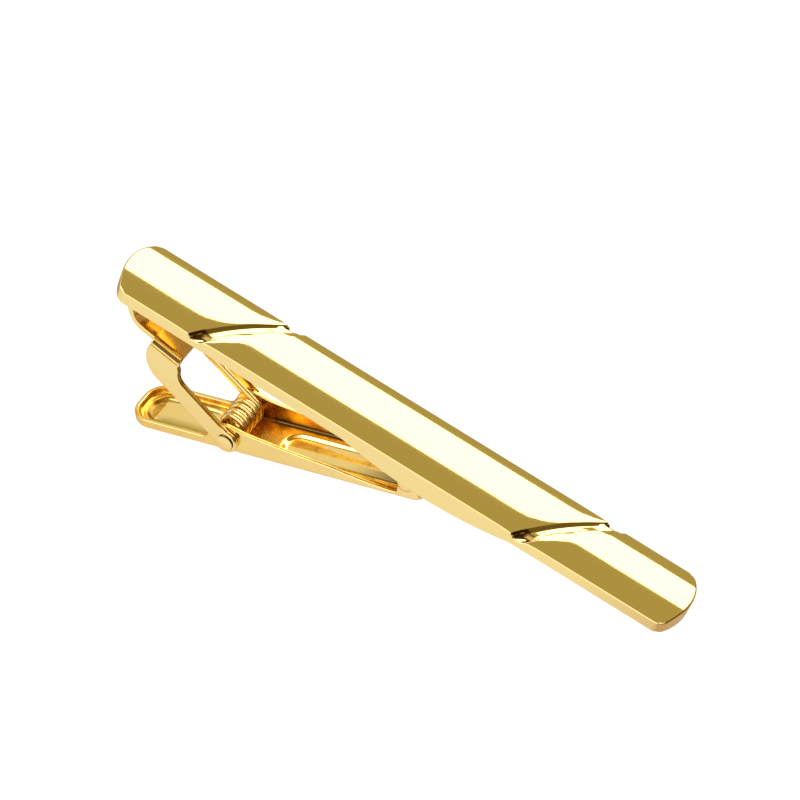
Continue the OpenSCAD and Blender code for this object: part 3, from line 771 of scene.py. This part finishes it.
def curl_path():
    """The curled tongue's outer line and its inward directions: under a quarter of a circle down from the
    bar's back, then straight on along the foot."""
    middle = np.array([CURL_X, 0.0])
    curl = arc_points(middle, CURL_RADIUS, CURL_START, CURL_END, 48)[:-1]
    leave = math.radians(CURL_END)
    last = middle + CURL_RADIUS * np.array([math.cos(leave), math.sin(leave)])
    level = np.array([last[0], -24.3, NOTCH_X, NOTCH_X + 0.05, NOTCH_X + 0.3, NOTCH_X + 0.6])
    slope = -math.cos(leave) / math.sin(leave)
    straight = np.stack([level, last[1] + slope * (level - last[0])], axis=-1)
    towards = -np.array([math.cos(leave), math.sin(leave)])
    inward = np.concatenate([(middle - curl) / CURL_RADIUS, np.tile(towards, (len(level), 1))])
    return np.concatenate([curl, straight]), inward


path, inward = curl_path()
path_half = np.where(path[:, 0] < NOTCH_X + 0.01, TONGUE_HALF, TONGUE_HALF - TONGUE_INSET)


def place_curl(flat, depth):
    """Puts one ring of the tongue's points: across the foot, and at a depth in from its outer line."""
    lifted = path + inward * (depth + CURL_CLEAR)
    return np.stack([lifted[:, 0], flat[:, 0], lifted[:, 1]], axis=-1)


near_edge = np.stack([-path_half, np.zeros(len(path))], axis=-1)
far_edge = np.stack([path_half, np.zeros(len(path))], axis=-1)
outward = np.tile([[1.0, 0.0]], (len(path), 1))
points, faces, rows, count = rounded_strip(near_edge, far_edge, -outward, outward, place_curl, CURL_BREAK)
faces = np.concatenate([faces, cap_faces(count, 0, True), cap_faces(count, (rows - 1) * count, False)])
# Painted bounce light: the tongue's inner face is half tinted the deeper orange
shade = np.tile(np.where(inner_ring, CURL_INSIDE, 0.0), rows)
curl = add_piece("bracket_curl", "bar_assembly", "polished_gold", gold, points, faces, shade)


# Rivet
# A turned brass pin through both eyes and the lever's cheeks, its two ends set to low domes by a punch.
SHANK_RADIUS = 0.5
HEAD_RADIUS = 0.85
HEAD_HEIGHT = 0.32
HEAD_LIP = 0.14
RIVET_SIDES = 48
RIM_WIDTH = 0.03
RIM_PAINTED_SHADE = 2.0
UPPER_RIGHT = (0.6, 0.8)


def rivet_profile():
    """Distance from the axis and place along it: a dome that is part of a ball, with a small upright lip,
    the shank, and the same again."""
    height = HEAD_HEIGHT - HEAD_LIP
    dome = (HEAD_RADIUS ** 2 + height ** 2) / (2 * height)
    radius = HEAD_RADIUS * np.sin(np.linspace(0.0, math.pi / 2, 15))
    rise = HEAD_LIP + np.sqrt(dome ** 2 - radius ** 2) - (dome - height)
    near = np.stack([radius, STRIP_HALF + rise], axis=-1)
    under = np.array([(HEAD_RADIUS, STRIP_HALF + 0.01), (HEAD_RADIUS - 0.02, STRIP_HALF - 0.005),
                      (SHANK_RADIUS, STRIP_HALF - 0.01)])
    shank = np.stack([np.full(9, SHANK_RADIUS), np.linspace(STRIP_HALF - 0.05, 0.2, 9)], axis=-1)
    half = np.concatenate([near, under, shank])
    return np.concatenate([half, np.stack([half[::-1, 0], -half[::-1, 1]], axis=-1)])


def turned(profile, sides):
    """A lathe surface about the rivet's axis, with its two end points drawn to poles and merged."""
    angle = np.arange(sides) * 2 * math.pi / sides
    x = PIVOT_X + profile[1:-1, 0, None] * np.cos(angle)
    z = PIVOT_Z + profile[1:-1, 0, None] * np.sin(angle)
    y = np.broadcast_to(profile[1:-1, 1, None], x.shape)
    points = np.stack([x, y, z], axis=-1).reshape(-1, 3)
    rows = len(profile) - 2
    poles = np.array([[PIVOT_X, profile[0, 1], PIVOT_Z], [PIVOT_X, profile[-1, 1], PIVOT_Z]])
    ring = np.arange(sides)
    after = (ring + 1) % sides
    first = np.stack([np.full(sides, rows * sides), ring, after], axis=-1)
    last_row = (rows - 1) * sides
    last = np.stack([np.full(sides, rows * sides + 1), last_row + after, last_row + ring], axis=-1)
    quads = tube_faces(rows, sides)[:, ::-1]
    return np.concatenate([points, poles]), [*quads.tolist(), *first.tolist(), *last.tolist()]


points, faces = turned(rivet_profile(), RIVET_SIDES)
# Painted shade: the heads' rims are darkened on their upper right half, a painted dark reflection
from_axis = np.hypot(points[:, 0] - PIVOT_X, points[:, 2] - PIVOT_Z)
upper_right = UPPER_RIGHT[0] * (points[:, 0] - PIVOT_X) + UPPER_RIGHT[1] * (points[:, 2] - PIVOT_Z)
shade = np.where((from_axis > HEAD_RADIUS - RIM_WIDTH) & (upper_right > 0.0), RIM_PAINTED_SHADE, 0.0)
rivet = add_piece("rivet_pin", "bar_assembly", "polished_gold", gold, points, faces, shade)
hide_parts("pivot_rivet")


# Lever
# One blank of brass sheet, drawn into a long trough: a rimmed thumb tab with a pressed seat, high cheeks
# round the rivet, a pressed channel along the floor, and at the tip a toothed jaw, dimpled on each side.
LEVER_SLOPE = math.radians(24.0)
LEVER_HALF = 2.65
LEVER_SHEET = 0.4
FLOOR_DROP = 1.47
TAB_REACH = 10.75
TAB_CORNER = 2.1
TIP_REACH = 19.45
TIP_CORNER = 0.8
DRAWN_FILLET = 0.34
BOTTOM_FILLET = 0.32
EDGE_BREAK = 0.11
CHANNEL_START = 4.05
CHANNEL_END = 18.3
CHANNEL_HALF = 1.6
CHANNEL_DEPTH = 0.32
CHANNEL_FLANK = 0.46
CHANNEL_FLAT = 0.5
CHANNEL_DISH = 0.06
SEAT_START = -9.98
SEAT_END = -1.9
SEAT_HALF = 1.88
SEAT_DEPTH = 0.36
SEAT_FLANK = 0.9 * CHANNEL_FLANK
SEAT_DISH = 0.04
SEAT_LIFT = 0.024
SEAT_LIFT_FROM = -7.7
DIMPLE_X = 18.0
DIMPLE_Z = 0.2
DIMPLE_RADIUS = 0.8
DIMPLE_HEIGHT = 0.33
DIMPLE_FROM = 16.0
HOLE_RADIUS = 0.55
HOLE_HALF = 0.95
HOLE_LEVELS = 15
HOLE_LOW_INSIDE = 1
HOLE_LOW_OUTSIDE = 5
TEETH = 4
TEETH_START = (17.551, 1.184)
TEETH_END = (19.451, 0.338)
TOOTH_CUT = (-0.0895, -0.201)
WALL_LEVELS = 24
CORNER_ROWS = 8
STRAIGHT_ROWS = 41
JAW_START = 17.35
# Height of the side walls over the rivet, along the lever up to the jaw
WALL_TOP = np.array([
    (-10.75, -0.47), (-3.1, -0.47), (-2.7, -0.44), (-2.35, -0.30), (-2.1, -0.02), (-1.9, 0.34), (-1.6, 0.76),
    (-1.15, 1.19), (-0.6, 1.45), (0.0, 1.55), (0.55, 1.46), (1.1, 1.28), (1.7, 1.10), (3.7, 0.76),
    (6.9, 0.28), (9.5, -0.02), (11.1, -0.25), (12.5, -0.51), (14.5, -0.79), (16.75, -0.97), (16.95, -0.93),
    (17.12, -0.62), (JAW_START, 0.45)])


def tooth_line():
    """Corners of the jaw's toothed edge: even ones are the teeth's tips, odd ones lie one cut lower."""
    count = np.arange(2 * TEETH + 1)
    start, end = np.array(TEETH_START), np.array(TEETH_END)
    line = start + (end - start) * (count / (2 * TEETH))[:, None]
    return line + np.where(count % 2 == 1, 1.0, 0.0)[:, None] * np.array(TOOTH_CUT)


def curve_through(pairs, samples):
    """Heights of a curve through the pairs that never swings past them: its slope at a pair is the harmonic
    mean of the slopes to both neighbours, and level where these differ in sign."""
    x, d = pairs[:, 0], pairs[:, 1]
    secant = np.diff(d) / np.diff(x)
    before, after = secant[:-1], secant[1:]
    mean = 2 * after * before / (after + before + TINY)
    slopes = np.concatenate([[0.0], np.where(after * before > 0, mean, 0.0), [secant[-1]]])
    return cubic_through(x, d, slopes, samples)


def wall_height(x):
    """Height of the wall's edge: a smooth curve up to the jaw, then straight lines from tooth to tooth."""
    teeth = tooth_line()
    jaw = np.concatenate([WALL_TOP[-1:], teeth])
    return np.where(x < JAW_START, curve_through(WALL_TOP, x), np.interp(x, jaw[:, 0], jaw[:, 1]))


def tray_columns():
    """Places of the grid's columns along the lever, closest where the walls or the floor bend most."""
    spans = [(-TAB_REACH, -8.65, 12), (-8.65, -3.1, 36), (-3.1, -HOLE_HALF, 24), (-HOLE_HALF, HOLE_HALF, 14),
             (HOLE_HALF, 3.6, 18), (3.6, 6.2, 26), (6.2, 14.0, 80), (14.0, 16.7, 22), (16.7, JAW_START, 12)]
    runs = [np.linspace(low, high, count + 1)[:-1] for low, high, count in spans]
    teeth = tooth_line()[:, 0]
    fine = np.linspace(0, len(teeth) - 1, 3 * (len(teeth) - 1) + 1)
    toothed = np.interp(fine, np.arange(len(teeth)), teeth)[:-1]
    return np.concatenate(runs + [[JAW_START, 17.45], toothed, [TIP_REACH]])


def tray_rows():
    """Shares of the grid's rows: how far into the round corner, and how far across the straight part."""
    corner = np.linspace(1.0, 0.0, CORNER_ROWS + 1)[:-1]
    straight = np.linspace(-1.0, 1.0, STRAIGHT_ROWS)
    into = np.concatenate([-corner, np.zeros(STRAIGHT_ROWS), corner[::-1]])
    across = np.concatenate([-np.ones(CORNER_ROWS), straight, np.ones(CORNER_ROWS)])
    return into, across


def tray_plan(inset):
    """The tray's plan, inset evenly: a rectangle whose corner squares are pressed to quarter discs."""
    columns = tray_columns()[:, None]
    into, across = (row[None, :] for row in tray_rows())
    tab_p = np.clip((TAB_CORNER - TAB_REACH - columns) / TAB_CORNER, 0.0, 1.0)
    tip_p = np.clip((columns - TIP_REACH + TIP_CORNER) / TIP_CORNER, 0.0, 1.0)
    q = np.abs(into)
    side = np.sign(across)

    def corner(p, radius):
        """A corner square's shares pressed to a quarter disc."""
        return radius * p * np.sqrt(1 - q * q / 2), radius * q * np.sqrt(1 - p * p / 2)

    tab_x, tab_y = corner(tab_p, TAB_CORNER - inset)
    tip_x, tip_y = corner(tip_p, TIP_CORNER - inset)
    x = columns + 0 * q
    x = np.where(tab_p > 0, TAB_CORNER - TAB_REACH - tab_x, x)
    x = np.where(tip_p > 0, TIP_REACH - TIP_CORNER + tip_x, x)
    blend = smooth_step(TAB_CORNER - TAB_REACH, TIP_REACH - TIP_CORNER, columns)
    tab_side = across * (LEVER_HALF - TAB_CORNER) + side * tab_y
    tip_side = across * (LEVER_HALF - TIP_CORNER) + side * tip_y
    return x, (1 - blend) * tab_side + blend * tip_side


def pressed_floor(x, y):
    """Height of the floor's relief, which is below 0 in a long channel under the jaw's half and in a thumb
    seat. Each is a slot with round ends: a depth, less the square of the way from its middle line times its
    dish, that a smooth step over its flank joins to the floor."""
    along = np.clip(x, CHANNEL_START + CHANNEL_HALF, CHANNEL_END - CHANNEL_HALF)
    away = np.hypot(x - along, y)
    dished = CHANNEL_DEPTH - CHANNEL_DISH * np.maximum(away - CHANNEL_FLAT, 0.0) ** 2
    channel = dished * (1 - smooth_step(CHANNEL_HALF - CHANNEL_FLANK, CHANNEL_HALF, away))
    along = np.clip(x, SEAT_START + SEAT_HALF, SEAT_END - SEAT_HALF)
    away = np.hypot(x - along, y)
    dished = SEAT_DEPTH - SEAT_DISH * y * y - SEAT_LIFT * np.maximum(SEAT_LIFT_FROM - x, 0.0) ** 2
    seat = dished * (1 - smooth_step(SEAT_HALF - SEAT_FLANK, SEAT_HALF, away))
    return -channel - seat


def lever_shell():
    """The trough: its pressed floor, then rings up the inner wall, over the edge by two quarter circles and
    down the outer wall, which a part of a ball dimples out, and a flat underside."""
    floor_top = LEVER_SHEET - FLOOR_DROP
    x, y = tray_plan(LEVER_SHEET + DRAWN_FILLET)
    floor_grid = np.stack([x, y, floor_top + pressed_floor(x, y)], axis=-1)
    count_u, count_v = x.shape
    rim = grid_rim(count_u, count_v)
    edge_x, edge_y = (side.ravel()[rim] for side in tray_plan(0.0))
    step_in = 0.5
    deep_x, deep_y = (side.ravel()[rim] for side in tray_plan(step_in))
    outward = np.stack([edge_x - deep_x, edge_y - deep_y], axis=-1) / step_in
    outline = np.stack([edge_x, edge_y], axis=-1)
    top = wall_height(edge_x)

    def ring(inset, z):
        """The plan's outline, moved in by the inset and put at height z."""
        inset, z = (np.broadcast_to(value, top.shape)[:, None] for value in (inset, z))
        return np.concatenate([outline - outward * inset, z], axis=1)

    rings = []
    foot = floor_grid.reshape(-1, 3)[rim, 2]
    for angle in np.linspace(0, math.pi / 2, 6)[1:-1]:
        rings.append(ring(LEVER_SHEET + DRAWN_FILLET * (1 - math.sin(angle)),
                          foot + DRAWN_FILLET * (1 - math.cos(angle))))
    inner_start = len(rings)
    low = foot + DRAWN_FILLET
    for share in np.linspace(0, 1, WALL_LEVELS + 1):
        rings.append(ring(LEVER_SHEET, low + share * (top - EDGE_BREAK - low)))
    for angle in np.linspace(0, math.pi / 2, 6)[1:]:
        inset = LEVER_SHEET - EDGE_BREAK * (1 - math.cos(angle))
        rings.append(ring(inset, top - EDGE_BREAK * (1 - math.sin(angle))))
    for angle in np.linspace(math.pi / 2, 0, 6)[:-1]:
        inset = EDGE_BREAK * (1 - math.cos(angle))
        rings.append(ring(inset, top - EDGE_BREAK * (1 - math.sin(angle))))
    outer_start = len(rings)
    low = BOTTOM_FILLET - FLOOR_DROP
    dome = (DIMPLE_RADIUS ** 2 + DIMPLE_HEIGHT ** 2) / (2 * DIMPLE_HEIGHT)
    on_side = (np.abs(edge_y) > LEVER_HALF - TIP_CORNER) & (edge_x > DIMPLE_FROM)
    for share in np.linspace(1, 0, WALL_LEVELS + 1):
        z = low + share * (top - EDGE_BREAK - low)
        away = np.hypot(edge_x - DIMPLE_X, z - DIMPLE_Z)
        proud = np.sqrt(np.maximum(dome ** 2 - away ** 2, 0.0)) - (dome - DIMPLE_HEIGHT)
        rings.append(ring(-np.where(on_side, np.maximum(proud, 0.0), 0.0), z))
    for angle in np.linspace(0, math.pi / 2, 7)[1:]:
        inset = BOTTOM_FILLET * (1 - math.cos(angle))
        rings.append(ring(inset, BOTTOM_FILLET * (1 - math.sin(angle)) - FLOOR_DROP))
    x, y = tray_plan(BOTTOM_FILLET + 0.02)
    bottom = np.stack([x, y, np.full_like(x, -FLOOR_DROP)], axis=-1)
    points, faces = closed_shell(floor_grid, rings, bottom)
    return pierce(points, faces, count_u, count_v, len(rim), inner_start, outer_start)


def pierce(points, faces, count_u, count_v, count_ring, inner_start, outer_start):
    """Opens the rivet's hole in both walls. A patch of each wall's two faces is cut out, its border is drawn
    straight in to a circle about the rivet, and a tube joins the two circles."""
    columns = tray_columns()
    left = int(np.argmin(np.abs(columns + HOLE_HALF)))
    right = int(np.argmin(np.abs(columns - HOLE_HALF)))
    keep = np.ones(len(faces), bool)
    first_ring_face = (count_u - 1) * (count_v - 1)
    first_ring_point = count_u * count_v
    new_points, new_faces = [points], []
    total = len(points)
    for far in (False, True):
        place = np.arange(left, right + 1)
        if far:
            place = count_u + (count_v - 1) + (count_u - 2 - place)
        circles = []
        for start, lowest in ((inner_start, HOLE_LOW_INSIDE), (outer_start, HOLE_LOW_OUTSIDE)):
            rows = start + np.arange(lowest, lowest + HOLE_LEVELS + 1)
            cut = place[:-1] if not far else place[1:]
            hidden = first_ring_face + (rows[1:, None]) * count_ring + cut[None, :]
            keep[hidden.ravel()] = False
            grid = first_ring_point + rows[:, None] * count_ring + place[None, :]
            if start == outer_start:
                grid = grid[::-1]
            border = np.concatenate([grid[0, :-1], grid[:-1, -1], grid[-1, :0:-1], grid[:0:-1, 0]])
            ring = points[border]
            side_view = ring[:, [0, 2]]
            around = side_view / np.linalg.norm(side_view, axis=1, keepdims=True) * HOLE_RADIUS
            new_points.append(np.stack([around[:, 0], ring[:, 1], around[:, 1]], axis=-1))
            numbers = total + np.arange(len(border))
            total += len(border)
            quads = ring_faces(border, numbers)
            new_faces.append(quads if (start == outer_start) != far else quads[:, ::-1])
            circles.append(numbers)
        tube = ring_faces(circles[0], circles[1])
        new_faces.append(tube if far else tube[:, ::-1])
    faces = np.concatenate([faces[keep]] + new_faces)
    points = np.concatenate(new_points)
    used, renumbered = np.unique(faces, return_inverse=True)
    return points[used], renumbered.reshape(faces.shape)


def on_lever(points):
    """Turns points drawn with the lever level and the rivet at the origin into the closed lever's place."""
    x = PIVOT_X + points[:, 0] * math.cos(LEVER_SLOPE) - points[:, 2] * math.sin(LEVER_SLOPE)
    z = PIVOT_Z + points[:, 0] * math.sin(LEVER_SLOPE) + points[:, 2] * math.cos(LEVER_SLOPE)
    return np.stack([x, points[:, 1], z], axis=-1)


# Painted light: what each place changes the attribute by, which is 1, painted bounce light, on the trough's
# inside and 0 on its outside
NEAR_RIM = 0.7
FAR_RIM = 0.35
CORNER_LINE = 0.72
CORNER_SHADE = 0.4
COIL_SHADE = 0.35
STRIPE_SHADE = 0.2
STRIPE_END_SHADE = 0.3
TAB_END_SHADE = 0.15
OUTSIDE_SHADE = 0.12
UNDER_JAW_SHADE = 0.8
CLOSE = 0.01


def trough_shade(points):
    """How far each point is painted away from plain gold: 1, painted bounce light, on the trough's walls and
    floor, near 0 outside and where the buff gets in, up to 2 where painted shade darkens it, and below 0
    where painted shade darkens it by the jaw."""
    x, y, z = points.T
    floor_top = LEVER_SHEET - FLOOR_DROP
    inner_half = LEVER_HALF - LEVER_SHEET
    within = (np.abs(y) < inner_half + 2 * CLOSE) & (z > floor_top - SEAT_DEPTH - CLOSE)
    within &= (x > LEVER_SHEET - TAB_REACH - 2 * CLOSE) & (x < TIP_REACH - LEVER_SHEET + 2 * CLOSE)
    # The buff gets into the channel and seat, free of painted bounce light, but for a stripe along the
    # channel's far half
    pressed = smooth_step(0.0, 0.04, -pressed_floor(x, y))
    left_end = 1 - smooth_step(6.5, 9.5, x)
    far_limit = 0.75 + 0.3 * left_end
    stripe = smooth_step(-0.25, 0.05, y) * (1 - smooth_step(far_limit - 0.3, far_limit, y))
    stripe = np.maximum(stripe * smooth_step(4.3, 5.0, x), 1 - smooth_step(-8.8, -8.6, x))
    buffed_unshaded = pressed * (1 - stripe) * (np.abs(y) < inner_half - DRAWN_FILLET + CLOSE)
    # Painted reflection: each rim carries an orange line, the near one stronger
    on_rim = (z > wall_height(x) - CLOSE) & (x > -1.5) & (x < 17.0)
    shade = np.where(within, 1.0 - buffed_unshaded, 0.0) + on_rim * np.where(y < 0, NEAR_RIM, FAR_RIM)
    # Painted shade: a dark line runs along the far wall's foot, and the shade fades out from it
    fillet = within & (z < floor_top + DRAWN_FILLET) & (y > inner_half - DRAWN_FILLET - 2 * CLOSE)
    shade += CORNER_LINE * fillet * window(0.5, 16.0, 1.0, x)
    from_corner = np.maximum(z - floor_top, 0.0) + LEVER_HALF - LEVER_SHEET - y
    shade += CORNER_SHADE * within * (1 - smooth_step(0.3, 1.2, from_corner)) * window(3.0, 16.0, 1.0, x)
    # Painted shade: the floor is darker right of the coil, in the channel's stripe and at the tab's end
    shade += COIL_SHADE * within * (1 - pressed) * window(2.3, 3.3, 0.5, x)
    on_stripe = (STRIPE_SHADE + STRIPE_END_SHADE * left_end) * stripe * pressed
    shade += within * (on_stripe + TAB_END_SHADE * (1 - smooth_step(-9.2, -8.0, x)))
    # Painted bounce light: a touch of the deeper orange on the outside
    shade += OUTSIDE_SHADE * ~within
    # Painted shade: the channel's smooth half darkens towards the jaw
    under_jaw = within * (buffed_unshaded > 0.9) * smooth_step(10.5, 16.5, x)
    return shade - UNDER_JAW_SHADE * under_jaw


points, faces = lever_shell()
shade = trough_shade(points)
lever = add_piece("lever_trough", "lever", "polished_gold", gold, on_lever(points), faces, shade)
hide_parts("lever")


# Spring
# Drawn round wire, plated, wound in four turns about the rivet, with its cut ends rounded over. One leg
# lies on the lever's floor, and the other runs up beside the far arm and turns up under the foot.
WIRE = 0.58
COIL_RADIUS = 1.2
COIL_RISE = 0.42
COIL_TURNS = 4
COIL_NEAR = -1.62
COIL_FAR = 1.45
COIL_RINGS = 30
COIL_EASE = (-0.35, 1.35)
LEG_FROM = 0.12
FLOOR_LEG = 2.4
LEG_SLOPE = math.radians(22.8)
LEG_LENGTH = 6.75
LEG_TURN = 0.9
LEG_TOP = -3.5
WIRE_SIDES = 16
WIRE_ROUGHNESS = 0.2
WIRE_LINES = (300.0, 300.0, 300.0)


def spring_path():
    """The wire's middle line: a straight leg, a helix about the rivet whose pitch eases at both ends, a
    second straight leg, an arc that turns it up, and a short upright end."""
    start = math.radians(-90.0) + LEVER_SLOPE
    stop = math.pi / 2 - LEG_SLOPE + 2 * math.pi * COIL_TURNS
    angle = np.linspace(start, stop, int(COIL_RINGS * (stop - start) / (2 * math.pi)))
    share = (angle - start) / (stop - start)
    wound = smooth_step(*COIL_EASE, share)
    wound = (wound - wound[0]) / (wound[-1] - wound[0])
    x = PIVOT_X - COIL_RISE * math.sin(LEVER_SLOPE) + COIL_RADIUS * np.cos(angle)
    z = PIVOT_Z + COIL_RISE * math.cos(LEVER_SLOPE) + COIL_RADIUS * np.sin(angle)
    coil = np.stack([x, COIL_NEAR + wound * (COIL_FAR - COIL_NEAR), z], axis=-1)
    back = np.array([math.cos(LEVER_SLOPE), 0.0, math.sin(LEVER_SLOPE)])
    floor_leg = coil[0] - np.linspace(FLOOR_LEG, LEG_FROM, 14)[:, None] * back
    up = np.array([-math.cos(LEG_SLOPE), 0.0, math.sin(LEG_SLOPE)])
    leg = coil[-1] + np.linspace(LEG_FROM, LEG_LENGTH, 30)[:, None] * up
    middle = leg[-1] + LEG_TURN * np.array([math.sin(LEG_SLOPE), 0.0, math.cos(LEG_SLOPE)])
    turn = np.linspace(1.5 * math.pi - LEG_SLOPE, math.pi, 12)[1:]
    bend = middle + LEG_TURN * np.stack([np.cos(turn), 0 * turn, np.sin(turn)], axis=-1)
    rise = np.linspace(bend[-1, 2], LEG_TOP, 5)[1:]
    upright = np.stack([np.full(4, bend[-1, 0]), np.full(4, bend[-1, 1]), rise], axis=-1)
    return np.concatenate([floor_leg, coil, leg, bend, upright])


def wire_tube(path, radius, sides):
    """A round tube along a path: rings square to it, and both ends rounded over by flattened quarter circles
    to a pole."""
    along = np.gradient(path, axis=0)
    along /= np.linalg.norm(along, axis=1, keepdims=True)
    first = np.cross(along, [0.0, 1.0, 0.0])
    first /= np.linalg.norm(first, axis=1, keepdims=True)
    second = np.cross(along, first)
    cap = 0.5 * radius
    angle = np.arange(sides) * 2 * math.pi / sides
    round_it = (np.cos(angle)[None, :, None] * first[:, None, :]
                + np.sin(angle)[None, :, None] * second[:, None, :])
    rings = path[:, None, :] + radius * round_it
    head_rings, tail_rings = [], []
    for turn in np.linspace(0.2, math.pi / 2, 5)[:-1]:
        small = radius * math.sin(turn)
        out = cap * math.cos(turn)
        for place, sign, store in ((0, -1, head_rings), (-1, 1, tail_rings)):
            store.append(path[place] + sign * out * along[place] + small * round_it[place])
    rings = np.concatenate([np.array(head_rings), rings, np.array(tail_rings[::-1])])
    rows = len(rings)
    poles = np.array([path[0] - cap * along[0], path[-1] + cap * along[-1]])
    ring = np.arange(sides)
    after = (ring + 1) % sides
    last_row = (rows - 1) * sides
    quads = tube_faces(rows, sides)
    head_cap = np.stack([np.full(sides, rows * sides), after, ring], axis=-1)
    tail_cap = np.stack([np.full(sides, rows * sides + 1), last_row + ring, last_row + after], axis=-1)
    return (np.concatenate([rings.reshape(-1, 3), poles]),
            [*quads.tolist(), *head_cap.tolist(), *tail_cap.tolist()])


points, faces = wire_tube(spring_path(), WIRE / 2, WIRE_SIDES)
drawn_gold = polished_gold("spring_gold", WIRE_ROUGHNESS, WIRE_LINES)
spring = add_piece("spring_wire", None, "spring_gold", drawn_gold, points, faces)
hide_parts("torsion_spring")
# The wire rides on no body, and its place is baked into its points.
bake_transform(spring)

# The frame's solids get the same gold, for the views that show them
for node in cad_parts.values():
    node.data.materials.clear()
    node.data.materials.append(gold)
